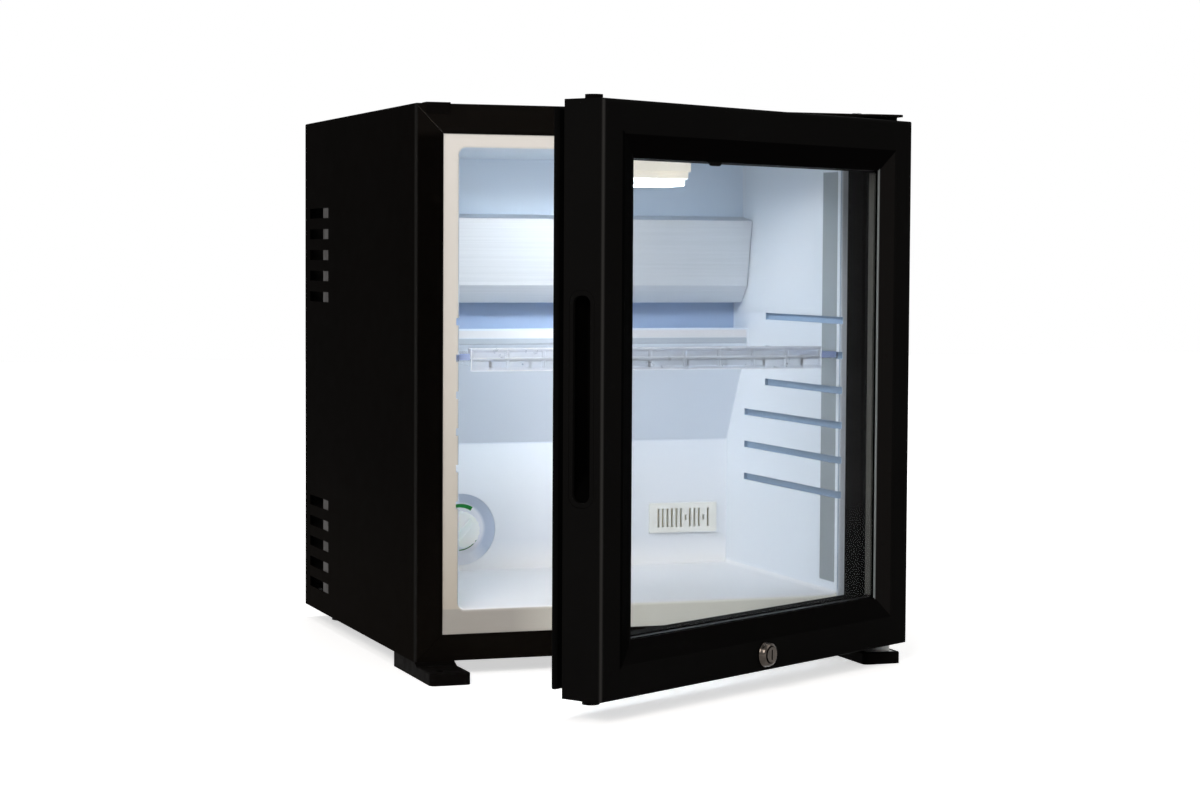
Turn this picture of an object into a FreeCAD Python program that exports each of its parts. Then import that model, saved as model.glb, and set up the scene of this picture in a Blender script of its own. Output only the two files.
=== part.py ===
import FreeCAD, Part
import math
import os
import re

import Sketcher

# Silent absorption minibar with a glazed door, in millimetres.
# The origin is on the floor under the middle of the cabinet. The front faces -Y.
# Every piece is drawn as it lies with the door shut, and the door's pieces are then turned open.

SIZES = {
    # Cabinet, a folded sheet steel wrapper
    "cabinet_wide": 402, "cabinet_high": 441, "cabinet_deep": 376.5, "foot_high": 12,
    "sheet_thick": 0.8, "fold_radius": 1.6, "side_flange_wide": 23, "top_flange_wide": 23.6,
    "bottom_flange_wide": 21.3, "mitre_gap": 0.3, "overrun": 2, "running_gap": 0.3,
    # Vent slots in both sides, beside the cooling unit
    "slot_start_deep": 288, "slot_end_deep": 359, "slot_high": 9, "slot_pitch": 18.7,
    "upper_slot_high": 284, "lower_slot_high": 23.5,
    # Insulated box
    "insulated_deep": 310, "back_return_deep": 24, "floor_vent_wide": 5, "floor_vent_pitch": 18,
    "floor_vent_long": 40, "floor_vent_edge": 7, "floor_vent_middle": 36,
    # Moulded inner liner, depths from the cabinet front and heights from its underside
    "side_wall": 37, "roof_wall": 35, "floor_wall": 41, "liner_thick": 1.5, "liner_tuck": 6,
    "liner_corner_radius": 5, "rim_round": 3, "rear_lower_deep": 247, "rear_lower_high": 155,
    "lip_deep": 200, "lip_foot_high": 245, "lip_top_high": 258, "lip_thick": 3.5, "gutter_deep": 231,
    "gutter_floor_high": 250, "gutter_top_high": 282, "rear_upper_deep": 212, "rear_upper_high": 296,
    # Shelf grooves pressed into both side walls of the liner
    "groove_high": 6, "groove_into": 3, "groove_pitch": 29.14, "groove_first_high": 123.8,
    "groove_long_end": 206, "groove_short_end": 159,
    # Evaporator plate and its clamp block
    "plate_thick": 1.5, "plate_top_deep": 189, "plate_top_high": 354, "plate_fold_deep": 200,
    "plate_fold_high": 296, "plate_foot_deep": 213, "plate_foot_high": 280.6, "plate_side_gap": 1,
    "plate_return_rise": 4, "block_wide": 120, "block_low_high": 305, "block_tall": 38,
    # Cooling circuit tubes
    "cold_tube_radius": 6, "cold_tube_bend": 18, "cold_tube_wide": 210, "cold_tube_deep": 228,
    "cold_tube_high": 310, "cold_tube_pitch": 40,
    "unit_deep": 341, "hot_tube_radius": 8, "hot_tube_bend": 16,
    "vessel_radius": 25, "vessel_long": 210, "vessel_right": 50, "vessel_high": 44,
    "coil_wide": 150, "coil_first_high": 96, "coil_pitch": 34, "solution_tube_radius": 6,
    "solution_tube_bend": 10,
    "boiler_from_wall": 14, "boiler_wide": 70, "boiler_deep": 56, "boiler_low_high": 62, "boiler_tall": 220,
    "condenser_high": 400, "condenser_left": 120, "fin_thick": 0.8, "fin_wide": 50, "fin_tall": 44,
    "fin_pitch": 12, "fin_right": 76,
    # Control box, mains inlet and gutter drain
    "control_wide": 34, "control_tall": 92, "control_deep": 40, "control_low_high": 66,
    "inlet_wide": 27, "inlet_tall": 20, "inlet_pin_radius": 2, "inlet_pin_pitch": 7,
    "inlet_cup_deep": 15, "inlet_wall": 2.5,
    "drain_radius": 5, "drain_left": 110,
    # Slotted rear grille
    "grille_slot_wide": 60, "grille_slot_high": 6, "grille_slot_pitch": 15, "grille_edge": 30,
    "grille_post": 15, "grille_screw_in": 12, "grille_block_thick": 4.5,
    # Small screws
    "screw_radius": 2, "screw_head_radius": 3.8, "screw_head_thick": 1.8, "screw_long": 9,
    # Lamp under the cavity's ceiling
    "lamp_wide": 92, "lamp_start_deep": 40, "lamp_deep": 55, "lamp_tall": 20, "lamp_wall": 2,
    "lens_tall": 6, "lens_inset": 4, "lens_thick": 1.6, "lens_round": 2, "board_thick": 1.6,
    "led_size": 5, "led_tall": 1.4, "led_pitch": 12.5,
    # Thermostat in its dish on the rear wall
    "dial_left": 90, "dial_high": 78, "dish_radius": 32, "dish_into": 7, "dial_ring_radius": 29,
    "dial_ring_thick": 1.4, "knob_radius": 16.5, "knob_tall": 17,
    "knob_grip_wide": 7, "knob_grip_tall": 8, "shaft_radius": 3, "shaft_into": 14, "thermostat_size": 42,
    "thermostat_deep": 24, "turn_clearance": 0.05, "knob_gap": 0.4, "knob_draft": 1.5,
    # Sensor grille on the rear wall
    "sensor_from_wall": 43.6, "sensor_high": 83.4, "sensor_wide": 65, "sensor_tall": 27, "sensor_thick": 3,
    "sensor_slot_wide": 2, "sensor_slot_tall": 17, "sensor_slot_pitch": 4.4, "sensor_frame_wide": 5,
    "sensor_dot_tall": 5, "sensor_pocket_deep": 8,
    # Clear shelf
    "shelf_start_deep": 10, "shelf_deep": 148, "shelf_thick": 2.5, "shelf_side_gap": 0.6,
    "shelf_runner_wide": 4,
    "shelf_runner_tall": 5, "shelf_lift": 0.3, "shelf_rib_tall": 6, "shelf_rib_thick": 2,
    "shelf_front_tall": 18.6, "shelf_front_thick": 3, "shelf_front_inset": 12,
    "shelf_front_rise": 5.3, "shelf_cell_deep": 9,
    # Door, a frame of mitred hollow profiles
    "door_open_angle": 31.5, "door_top_drop": 7.8, "door_foot_rise": 4, "frame_thick": 36,
    "frame_wide": 41, "frame_flat": 24, "bevel_deep": 5.6, "lip_edge": 1.4, "frame_round": 3.5,
    "profile_wall": 2.2, "rebate_from_edge": 31, "gasket_thick": 14.8, "gasket_gap": 0.5,
    # Double glazing
    "pane_thick": 4, "spacer_deep": 7.5, "spacer_wide": 8, "pane_edge_gap": 0.3,
    "bead_gap": 0.3,
    # Gasket
    "gasket_inset": 5, "gasket_wide": 16, "gasket_waist": 1.6, "gasket_face_inset": 2.5,
    # Hinges
    "hinge_inset": 11, "hinge_back": 18, "pin_radius": 3, "pin_clearance": 0.05, "bush_radius": 6,
    "bush_long": 15, "bush_flange_radius": 8,
    "hinge_plate_thick": 1.8, "hinge_plate_wide": 37, "hinge_plate_reach": 45, "hinge_plate_drop": 2.6,
    "hinge_tail_wide": 18.5, "hinge_tail_long": 42, "hinge_slot_in": 8.8, "hinge_round": 6,
    "hinge_screw_first": 10.5, "hinge_screw_pitch": 22, "lower_plate_thick": 1.2, "washer_radius": 6.5,
    "plug_head_radius": 6.4, "plug_head_thick": 3.2, "plug_long": 10, "key_leg": 45, "key_fit": 0.1,
    # Cover of the unused hinge slot
    "cover_wide": 19.7, "cover_thick": 0.9, "cover_drop": 7.7, "cover_top_long": 12, "cover_tongue": 6,
    # Front feet and rear feet
    "front_foot_wide": 33, "front_foot_reach": 47.4, "front_foot_rear": 62, "front_foot_nose_high": 9.6,
    "front_foot_slope": 6, "front_foot_round": 4.5, "front_foot_edge": 1.2, "foot_sink_deep": 4,
    "rear_foot_radius": 14, "rear_foot_taper": 2, "rear_foot_in": 32, "rear_foot_from_back": 30,
    # Handle cup in the door's free edge
    "handle_low_high": 142.5, "handle_tall": 155, "handle_cup_tall": 144.5, "handle_cup_wide": 12.5,
    "handle_cup_from_front": 13, "handle_cup_into": 18, "handle_plate_thick": 0.8, "handle_wall": 1.6,
    "handle_plate_border": 5.2, "handle_plate_round": 4,
    # Lock in the bottom rail
    "lock_high": 13.3, "lock_head_radius": 10, "lock_head_taper": 1.2, "lock_head_thick": 5.6,
    "lock_barrel_radius": 8,
    "lock_barrel_long": 22.8, "lock_plug_radius": 6, "lock_plug_proud": 0.6, "key_slot_wide": 1.6,
    "key_slot_tall": 8, "key_slot_deep": 6, "lock_nut_radius": 9.5, "lock_nut_thick": 3.4,
    "cam_long": 21.4, "cam_wide": 9, "cam_thick": 2, "cam_screw_radius": 4, "cam_screw_tall": 2.2,
    "cam_slot_room": 1, "keeper_wide": 44, "keeper_thick": 2, "keeper_reach": 33, "keeper_rear": 22,
    "keeper_slot_wide": 16, "keeper_slot_room": 2,
    # Tab at the top of the glass
    "tab_from_edge": 148, "tab_wide": 10, "tab_tall": 3, "tab_thick": 1,
}

COUNTS = {
    "side_slots": 5, "grooves": 6, "long_grooves": 3, "shelf_groove": 4, "sensor_slots": 12, "lamp_leds": 6,
    "floor_vents": 4, "fins": 16, "coil_runs": 5, "grille_columns": 4, "grille_lines": 24, "shelf_ribs": 9,
    "shelf_cells": 10,
}
SENSOR_DOTS = (6, 10)
FOOT_SCREW_SHARES = (0.25, 0.75)

PLACES = {
    "left": "-cabinet_wide / 2", "right": "cabinet_wide / 2",
    "front": "-cabinet_deep / 2", "rear": "cabinet_deep / 2",
    "base": "foot_high", "roof": "foot_high + cabinet_high",
    "back_sheet_at": "front + insulated_deep",
    "inside_half": "cabinet_wide / 2 - side_wall",
    "inside_floor": "base + floor_wall", "ceiling": "roof - roof_wall",
    "sensor_middle": "inside_half - sensor_from_wall", "boiler_right": "inside_half - boiler_from_wall",
    "plate_lean": "(plate_top_deep - plate_fold_deep) / (plate_top_high - plate_fold_high)",
    "plate_back": "plate_thick * sqrt(1 + plate_lean * plate_lean)",
    "hinge_across": "right - hinge_inset",
    "door_front": "front - gasket_gap - gasket_thick - frame_thick",
    "hinge_along": "door_front + hinge_back",
    "frame_back": "door_front + frame_thick",
    "door_foot": "base + door_foot_rise", "door_top": "roof - door_top_drop",
    "pane_front": "door_front + bevel_deep + lip_edge",
    "pane_back": "pane_front + 2 * pane_thick + spacer_deep",
    "groove_used_high": "base + groove_first_high + %d * groove_pitch" % COUNTS["shelf_groove"],
    "shelf_low": "groove_used_high - groove_high / 2 + shelf_lift",
    "shelf_rib_pitch": "2 * (inside_half - shelf_front_inset) / %d" % COUNTS["shelf_ribs"],
    "shelf_cell_pitch": "2 * (inside_half - shelf_front_inset) / %d" % COUNTS["shelf_cells"],
    "hinge_plate_top": "roof - hinge_plate_drop",
    "hinge_plate_low": "hinge_plate_top - hinge_plate_thick",
    "bush_flange_tall": "hinge_plate_low - running_gap - door_top",
    "foot_nose": "front_foot_nose_high",
    "lock_up": "door_foot + lock_high",
    "dial_up": "base + dial_high", "dish_floor": "front + rear_lower_deep + dish_into",
    "shelf_groove_half": "inside_half + groove_into - shelf_side_gap",
}

doc = FreeCAD.newDocument("Minibar")
sizes = doc.addObject("Spreadsheet::Sheet", "Sizes")
places = doc.addObject("Spreadsheet::Sheet", "Places")


def full(text):
    """Name the sheet of every size that an expression uses."""
    def with_sheet(word):
        if word.group(0) in SIZES:
            return "Sizes." + word.group(0)
        if word.group(0) in PLACES:
            return "Places." + word.group(0)
        return word.group(0)
    return re.sub(r"[a-z][a-z_]*", with_sheet, str(text))


def number(text):
    """The present value of an expression."""
    return float(sizes.evalExpression(full(text)))


for row, (alias, value) in enumerate(SIZES.items(), start=1):
    sizes.set("A%d" % row, alias)
    sizes.set("B%d" % row, str(value))
    sizes.setAlias("B%d" % row, alias)
for row, (alias, formula) in enumerate(PLACES.items(), start=1):
    places.set("A%d" % row, alias)
    places.set("B%d" % row, "=" + full(formula))
    places.setAlias("B%d" % row, alias)
    doc.recompute()

TURNS = {
    "x": FreeCAD.Rotation(FreeCAD.Vector(0, 1, 0), 90),
    "y": FreeCAD.Rotation(FreeCAD.Vector(1, 0, 0), -90),
    "z": FreeCAD.Rotation(),
}
PLANES = {"x": "YZ_Plane", "y": "XZ_Plane", "z": "XY_Plane"}
finished = []


def minus(text):
    return "-(%s)" % text


def block(name, low, high):
    """A box between two corners, each given as three expressions."""
    piece = doc.addObject("Part::Box", name)
    for side, axis, start, end in zip(("Length", "Width", "Height"), "xyz", low, high):
        piece.setExpression(side, full("(%s) - (%s)" % (end, start)))
        piece.setExpression("Placement.Base." + axis, full(start))
    return piece


def rod(name, along, radius, start, length):
    """A round bar from a start point, along x, y or z."""
    piece = doc.addObject("Part::Cylinder", name)
    piece.Placement = FreeCAD.Placement(FreeCAD.Vector(), TURNS[along])
    piece.setExpression("Radius", full(radius))
    piece.setExpression("Height", full(length))
    for axis, place in zip("xyz", start):
        piece.setExpression("Placement.Base." + axis, full(place))
    return piece


def taper(name, along, start_radius, end_radius, start, length):
    """A cone frustum from a start point, along x, y or z."""
    piece = doc.addObject("Part::Cone", name)
    piece.Placement = FreeCAD.Placement(FreeCAD.Vector(), TURNS[along])
    piece.setExpression("Radius1", full(start_radius))
    piece.setExpression("Radius2", full(end_radius))
    piece.setExpression("Height", full(length))
    for axis, place in zip("xyz", start):
        piece.setExpression("Placement.Base." + axis, full(place))
    return piece


def together(name, pieces):
    """Pieces that lie apart, kept as one object."""
    group = doc.addObject("Part::Compound", name)
    group.Links = pieces
    return group


def joined(name, *pieces):
    piece = doc.addObject("Part::MultiFuse", name)
    piece.Shapes = list(pieces)
    piece.Refine = True
    return piece


def cut(name, base, *tools):
    """The base less every tool. Tools may overlap."""
    piece = doc.addObject("Part::Cut", name)
    piece.Base = base
    piece.Tool = tools[0] if len(tools) == 1 else joined(name + "_tools", *tools)
    piece.Refine = True
    return piece


def shared(name, first, second):
    piece = doc.addObject("Part::Common", name)
    piece.Base = first
    piece.Tool = second
    piece.Refine = True
    return piece


def draw(sketch, points):
    """One closed outline of straight edges, each corner held by two expressions."""
    first = sketch.GeometryCount
    spots = [FreeCAD.Vector(number(across), number(up), 0) for across, up in points]
    for here, after in zip(spots, spots[1:] + spots[:1]):
        sketch.addGeometry(Part.LineSegment(here, after), False)
    for index, (across, up) in enumerate(points):
        edge = first + index
        after = first + (index + 1) % len(points)
        sketch.addConstraint(Sketcher.Constraint("Coincident", edge, 2, after, 1))
        for kind, letter, text, now in (("DistanceX", "u", across, spots[index].x),
                                        ("DistanceY", "v", up, spots[index].y)):
            held = sketch.addConstraint(Sketcher.Constraint(kind, -1, 1, edge, 1, now))
            sketch.renameConstraint(held, "%s%d" % (letter, edge))
            sketch.setExpression("Constraints.%s%d" % (letter, edge), full(text))


def layer(body, name, along, points, start, end, hole=None):
    """One more pad of a body, from start to end along x, y or z."""
    plane = [datum for datum in body.Origin.OriginFeatures if datum.Role == PLANES[along]][0]
    sketch = body.newObject("Sketcher::SketchObject", name + "_outline")
    sketch.AttachmentSupport = [(plane, "")]
    sketch.MapMode = "FlatFace"
    sketch.setExpression("AttachmentOffset.Base.z", full(minus(end) if along == "y" else start))
    draw(sketch, points)
    if hole:
        draw(sketch, hole)
    pad = body.newObject("PartDesign::Pad", name)
    pad.Profile = sketch
    pad.setExpression("Length", full("(%s) - (%s)" % (end, start)))
    doc.recompute()


def rounded(body, name, wanted, radius):
    """Fillets the edges of a body's last feature that pass a test."""
    base = body.Tip
    edges = ["Edge%d" % (index + 1) for index, edge in enumerate(base.Shape.Edges) if wanted(edge)]
    fillet = body.newObject("PartDesign::Fillet", name)
    fillet.Base = (base, edges)
    fillet.setExpression("Radius", full(radius))
    doc.recompute()


def prism(name, along, points, start, end, hole=None, rounds=()):
    """A body padded from start to end along x, y or z. Each round is (edge test, radius)."""
    body = doc.addObject("PartDesign::Body", name)
    layer(body, name + "_pad", along, points, start, end, hole)
    for index, (wanted, radius) in enumerate(rounds):
        rounded(body, "%s_round_%d" % (name, index), wanted, radius)
    return body


def centred(index, count):
    """A copy's place in a centred row, in pitches."""
    return index - (count - 1) / 2


def runs(along):
    """An edge test: straight and parallel to x, y or z."""
    def wanted(edge):
        ends = edge.Vertexes[-1].Point - edge.Vertexes[0].Point
        ends.normalize()
        return edge.Curve.TypeId == "Part::GeomLine" and abs(getattr(ends, along)) > 1 - SAME
    return wanted


SAME = 1e-6
CLOSE = 1e-3


def near(edge, axis, place):
    """True where the whole edge lies at one value of an axis."""
    box = edge.BoundBox
    low, high = getattr(box, axis.upper() + "Min"), getattr(box, axis.upper() + "Max")
    return abs(low - number(place)) < CLOSE and abs(high - number(place)) < CLOSE


def finish(name, piece, rides_door=False):
    """Names a sub-part. A door piece is turned about the hinge to where it stands open."""
    if piece.TypeId in ("Part::Box", "Part::Cylinder", "Part::Cone"):
        piece = together(name + "_piece", [piece])
    piece.Label = name
    if rides_door:
        piece.setExpression("Placement.Rotation.Angle", full("door_open_angle"))
        turned_x = "hinge_across - hinge_across * cos(door_open_angle) + hinge_along * sin(door_open_angle)"
        turned_y = "hinge_along - hinge_across * sin(door_open_angle) - hinge_along * cos(door_open_angle)"
        piece.setExpression("Placement.Base.x", full(turned_x))
        piece.setExpression("Placement.Base.y", full(turned_y))
    finished.append(piece)
    return piece


def screw(name, along, head, sense):
    """A pan head screw: head outside the point, shank the other way. Sense is 1 or -1 along the axis."""
    def shifted(amount):
        places_of = list(head)
        index = "xyz".index(along)
        places_of[index] = "%s + (%s)" % (head[index], amount)
        return places_of
    if sense > 0:
        cap = rod(name + "_head", along, "screw_head_radius", head, "screw_head_thick")
        shank = rod(name + "_shank", along, "screw_radius", shifted("-screw_long"), "screw_long")
    else:
        cap = rod(name + "_head", along, "screw_head_radius", shifted("-screw_head_thick"),
                  "screw_head_thick")
        shank = rod(name + "_shank", along, "screw_radius", head, "screw_long")
    return joined(name, cap, shank)


def tube(name, route, radius, bend):
    """A solid round tube along straight runs with rounded corners. Points are three expressions each."""
    spots = [FreeCAD.Vector(*(number(value) for value in point)) for point in route]
    size, turn = number(radius), number(bend)
    edges = []
    start = spots[0]
    for before, corner, after in zip(spots, spots[1:], spots[2:]):
        into = (corner - before).normalize()
        out = (after - corner).normalize()
        reach = turn * math.tan(into.getAngle(out) / 2)
        leave, meet = corner - into * reach, corner + out * reach
        middle = corner + (out - into).normalize() * (math.hypot(reach, turn) - turn)
        edges.append(Part.LineSegment(start, leave).toShape())
        edges.append(Part.Arc(leave, middle, meet).toShape())
        start = meet
    edges.append(Part.LineSegment(start, spots[-1]).toShape())
    ring = Part.Wire(Part.makeCircle(size, spots[0], spots[1] - spots[0]))
    feature = doc.addObject("Part::Feature", name)
    feature.Shape = Part.Wire(edges).makePipeShell([ring], True, False)
    return feature


# Wrapper: one sheet folded over the top and both sides, with a narrow flange round the front
def fold_edges(edge):
    across_top = near(edge, "z", "roof") and not near(edge, "y", "rear")
    return across_top or (runs("z")(edge) and near(edge, "y", "front"))


def make_wrapper():
    body = prism("wrapper_block", "z",
                 [("left", "front"), ("right", "front"), ("right", "rear"), ("left", "rear")],
                 "base", "roof", rounds=[(fold_edges, "fold_radius")])
    base = body.Tip
    shell = body.newObject("PartDesign::Thickness", "wrapper_shell")
    open_faces = ["Face%d" % (index + 1) for index, face in enumerate(base.Shape.Faces)
                  if near(face, "z", "base") or near(face, "y", "rear")]
    shell.Base = (base, open_faces)
    shell.setExpression("Value", full("sheet_thick"))
    shell.Reversed = True
    doc.recompute()
    flange_x = "right - side_flange_wide"
    mouth = prism("wrapper_mouth", "y", [
        ("left + sheet_thick", "base - overrun"), ("left + sheet_thick", "base"),
        ("left + side_flange_wide", "base + bottom_flange_wide"),
        ("left + side_flange_wide", "roof - top_flange_wide"), (flange_x, "roof - top_flange_wide"),
        (flange_x, "base + bottom_flange_wide"), ("right - sheet_thick", "base"),
        ("right - sheet_thick", "base - overrun"),
    ], "front - overrun", "front + sheet_thick + overrun")
    seams = []
    for side, sense in (("left", "+"), ("right", "-")):
        inner, outer = "%s %s side_flange_wide" % (side, sense), "%s %s fold_radius" % (side, sense)
        seams.append(prism("wrapper_seam_" + side, "y", [
            (inner, "roof - top_flange_wide - mitre_gap"), (inner, "roof - top_flange_wide"),
            (outer, "roof - fold_radius"), (outer, "roof - fold_radius - mitre_gap"),
        ], "front - overrun", "front + sheet_thick + overrun"))
    slots = []
    for group in ("upper", "lower"):
        for index in range(COUNTS["side_slots"]):
            middle = "base + %s_slot_high + %d * slot_pitch" % (group, index)
            slots.append(block("%s_slot_%d" % (group, index),
                               ("left - overrun", "front + slot_start_deep", middle + " - slot_high / 2"),
                               ("right + overrun", "front + slot_end_deep", middle + " + slot_high / 2")))
    hinge_slots = []
    for side, low in (("left", "left + hinge_slot_in"),
                      ("right", "right - hinge_slot_in - hinge_tail_wide")):
        hinge_slots.append(block(
            "hinge_slot_" + side,
            (low, "front - overrun", "hinge_plate_low"),
            (low + " + hinge_tail_wide", "front + sheet_thick + overrun", "hinge_plate_top")))
    holes = [rod("hinge_screw_hole_%d" % index, "z", "screw_radius",
                 (hinge_screw_x, hinge_screw_y(index), "roof - overrun"),
                 "2 * overrun") for index in range(2)]
    return cut("wrapper", body, mouth, *seams, *slots, *hinge_slots, *holes)


hinge_screw_x = "right - hinge_slot_in - hinge_tail_wide / 2"


def hinge_screw_y(index):
    return "front + hinge_screw_first + %d * hinge_screw_pitch" % index


wrapper = make_wrapper()
finish("cabinet_wrapper", wrapper)


def foot_screw_spots(side, sense):
    """The two screws of one front foot, as expressions."""
    across = "%s + %d * front_foot_wide / 2" % (side, sense)
    return [(across, "front + front_foot_rear * %s" % share,
             "foot_sink_deep") for share in FOOT_SCREW_SHARES]


# Screws up into the floor: two in each front foot, one in each rear foot, two in the keeper
rear_foot_spots = [("left + rear_foot_in", "rear - rear_foot_from_back", "foot_sink_deep"),
                   ("right - rear_foot_in", "rear - rear_foot_from_back", "foot_sink_deep")]
keeper_spots = [("-keeper_wide / 3", "front + keeper_rear / 2", "base - keeper_thick"),
                ("keeper_wide / 3", "front + keeper_rear / 2", "base - keeper_thick")]
foot_spots = foot_screw_spots("left", 1) + foot_screw_spots("right", -1) + rear_foot_spots
foot_screws = [screw("foot_screw_%d" % index, "z", spot, -1) for index, spot in enumerate(foot_spots)]
keeper_screws = [screw("keeper_screw_%d" % index, "z", spot, -1) for index, spot in enumerate(keeper_spots)]
sinks = [rod("foot_sink_%d" % index, "z", "screw_head_radius + running_gap", (spot[0], spot[1], "-overrun"),
             "foot_sink_deep + overrun") for index, spot in enumerate(foot_spots)]
finish("base_screws", together("all_base_screws", foot_screws + keeper_screws))


# Floor panel: a sheet with a mitred front flange, and vents under the cooling unit
def make_floor():
    sheet = block("floor_sheet", ("left + sheet_thick", "front + sheet_thick", "base"),
                  ("right - sheet_thick", "rear", "base + sheet_thick"))
    flange = prism("floor_flange", "y", [
        ("left + sheet_thick + mitre_gap", "base"), ("right - sheet_thick - mitre_gap", "base"),
        ("right - side_flange_wide", "base + bottom_flange_wide - mitre_gap"),
        ("left + side_flange_wide", "base + bottom_flange_wide - mitre_gap"),
    ], "front", "front + sheet_thick")
    vents = []
    for side in (-1, 1):
        for index in range(COUNTS["floor_vents"]):
            middle = "%d * (floor_vent_middle + %d * floor_vent_pitch)" % (side, index)
            vents.append(block("floor_vent_%d_%d" % (side + 1, index),
                               (middle + " - floor_vent_wide / 2",
                                "rear - floor_vent_edge - floor_vent_long", "base - overrun"),
                               (middle + " + floor_vent_wide / 2",
                                "rear - floor_vent_edge", "base + sheet_thick + overrun")))
    return cut("floor", joined("floor_whole", sheet, flange), wrapper, *vents, *foot_screws, *keeper_screws)


finish("floor_panel", make_floor())

# Back sheet: closes the foam behind, with side returns that show through the vent slots
back_low = "base + sheet_thick"
back_high = "roof - sheet_thick"
back_parts = [
    block("back_flat", ("left + sheet_thick", "back_sheet_at - sheet_thick", back_low),
          ("right - sheet_thick", "back_sheet_at", back_high)),
    block("back_return_left", ("left + sheet_thick", "back_sheet_at - back_return_deep", back_low),
          ("left + 2 * sheet_thick", "back_sheet_at", back_high)),
    block("back_return_right", ("right - 2 * sheet_thick", "back_sheet_at - back_return_deep", back_low),
          ("right - sheet_thick", "back_sheet_at", back_high)),
]
back_whole = joined("back_whole", *back_parts)


# Liner: a vacuum formed tub with a gutter lip across its back
def liner_outline(opening, skin):
    """The start of the cavity's side view, grown by a skin thickness (0 for the inside)."""
    return [
        (opening, "inside_floor - " + skin),
            ("front + rear_lower_deep + " + skin, "inside_floor - " + skin),
        ("front + rear_lower_deep + " + skin, "base + rear_lower_high"),
        ("front + lip_deep + " + skin, "base + lip_foot_high"),
    ]


inner_outline = liner_outline("front - overrun", "0") + [
    ("front + lip_deep", "base + lip_top_high"), ("front + lip_deep + lip_thick", "base + lip_top_high"),
    ("front + lip_deep + lip_thick", "base + gutter_floor_high"),
    ("front + gutter_deep", "base + gutter_floor_high"), ("front + gutter_deep", "base + gutter_top_high"),
    ("front + rear_upper_deep", "base + rear_upper_high"), ("front + rear_upper_deep", "ceiling"),
    ("front - overrun", "ceiling"),
]
outer_outline = liner_outline("front + sheet_thick", "liner_thick") + [
    ("front + lip_deep + liner_thick", "base + gutter_floor_high - liner_thick"),
    ("front + gutter_deep + liner_thick", "base + gutter_floor_high - liner_thick"),
    ("front + gutter_deep + liner_thick", "base + gutter_top_high + liner_thick / 2"),
    ("front + rear_upper_deep + liner_thick", "base + rear_upper_high + liner_thick / 2"),
    ("front + rear_upper_deep + liner_thick", "ceiling + liner_thick"),
    ("front + sheet_thick", "ceiling + liner_thick"),
]


def long_corner(skin):
    """The four edges along the cavity's depth, where walls meet floor and ceiling."""
    def wanted(edge):
        return runs("y")(edge) and (near(edge, "z", "inside_floor - " + skin)
                                    or near(edge, "z", "ceiling + " + skin))
    return wanted


def rim_edge(edge):
    """The edges of the opening, in the plane of the liner's flange."""
    box = edge.BoundBox
    half = number("inside_half") + CLOSE
    low, high = number("inside_floor") - CLOSE, number("ceiling") + CLOSE
    return near(edge, "y", "front + sheet_thick") and box.XMax < half and box.ZMin > low and box.ZMax < high


def frame_block(body, name, reach, low_reach, high_reach, thick):
    """A slab behind the steel flange, reaching past the opening by the given amounts."""
    layer(body, name, "y", [
        ("-inside_half - (%s)" % reach, "inside_floor - (%s)" % low_reach),
        ("inside_half + (%s)" % reach, "inside_floor - (%s)" % low_reach),
        ("inside_half + (%s)" % reach, "ceiling + (%s)" % high_reach),
        ("-inside_half - (%s)" % reach, "ceiling + (%s)" % high_reach),
    ], "front + sheet_thick", "front + sheet_thick + " + thick)


def groove(index, name, skin, start):
    """One pair of shelf grooves, left and right, open to the front and grown by a skin thickness."""
    end = "groove_long_end" if index < COUNTS["long_grooves"] else "groove_short_end"
    middle = "base + groove_first_high + %d * groove_pitch" % index
    pair = []
    for side, low, high in (("left", "-inside_half - groove_into - " + skin, "-inside_half"),
                            ("right", "inside_half", "inside_half + groove_into + " + skin)):
        pair.append(block("%s_%s_%d" % (name, side, index),
                          (low, start, "%s - groove_high / 2 - %s" % (middle, skin)),
                          (high, "front + %s + %s" % (end, skin),
                           "%s + groove_high / 2 + %s" % (middle, skin))))
    return pair


def all_grooves(name, skin, start):
    return [box for index in range(COUNTS["grooves"]) for box in groove(index, name, skin, start)]


def make_cavity(name):
    return prism(name, "x", inner_outline, "-inside_half", "inside_half",
                 rounds=[(long_corner("0"), "liner_corner_radius")])


def make_tub():
    """The walls, the flange and the thick round rim of the opening, as one body."""
    body = prism("tub", "x", outer_outline, "-inside_half - liner_thick", "inside_half + liner_thick",
                 rounds=[(long_corner("liner_thick"), "liner_corner_radius + liner_thick")])
    frame_block(body, "tub_flange", "side_wall - side_flange_wide + liner_tuck",
                "floor_wall - bottom_flange_wide + liner_tuck", "roof_wall - top_flange_wide + liner_tuck",
                "liner_thick")
    frame_block(body, "tub_rim", "rim_round + liner_thick", "rim_round + liner_thick",
                "rim_round + liner_thick", "rim_round + liner_thick")
    hollow = body.newObject("PartDesign::Boolean", "tub_hollow")
    hollow.Type = "Cut"
    hollow.Group = [make_cavity("tub_cavity")]
    doc.recompute()
    rounded(body, "tub_rim_round", rim_edge, "rim_round")
    return body


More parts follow.
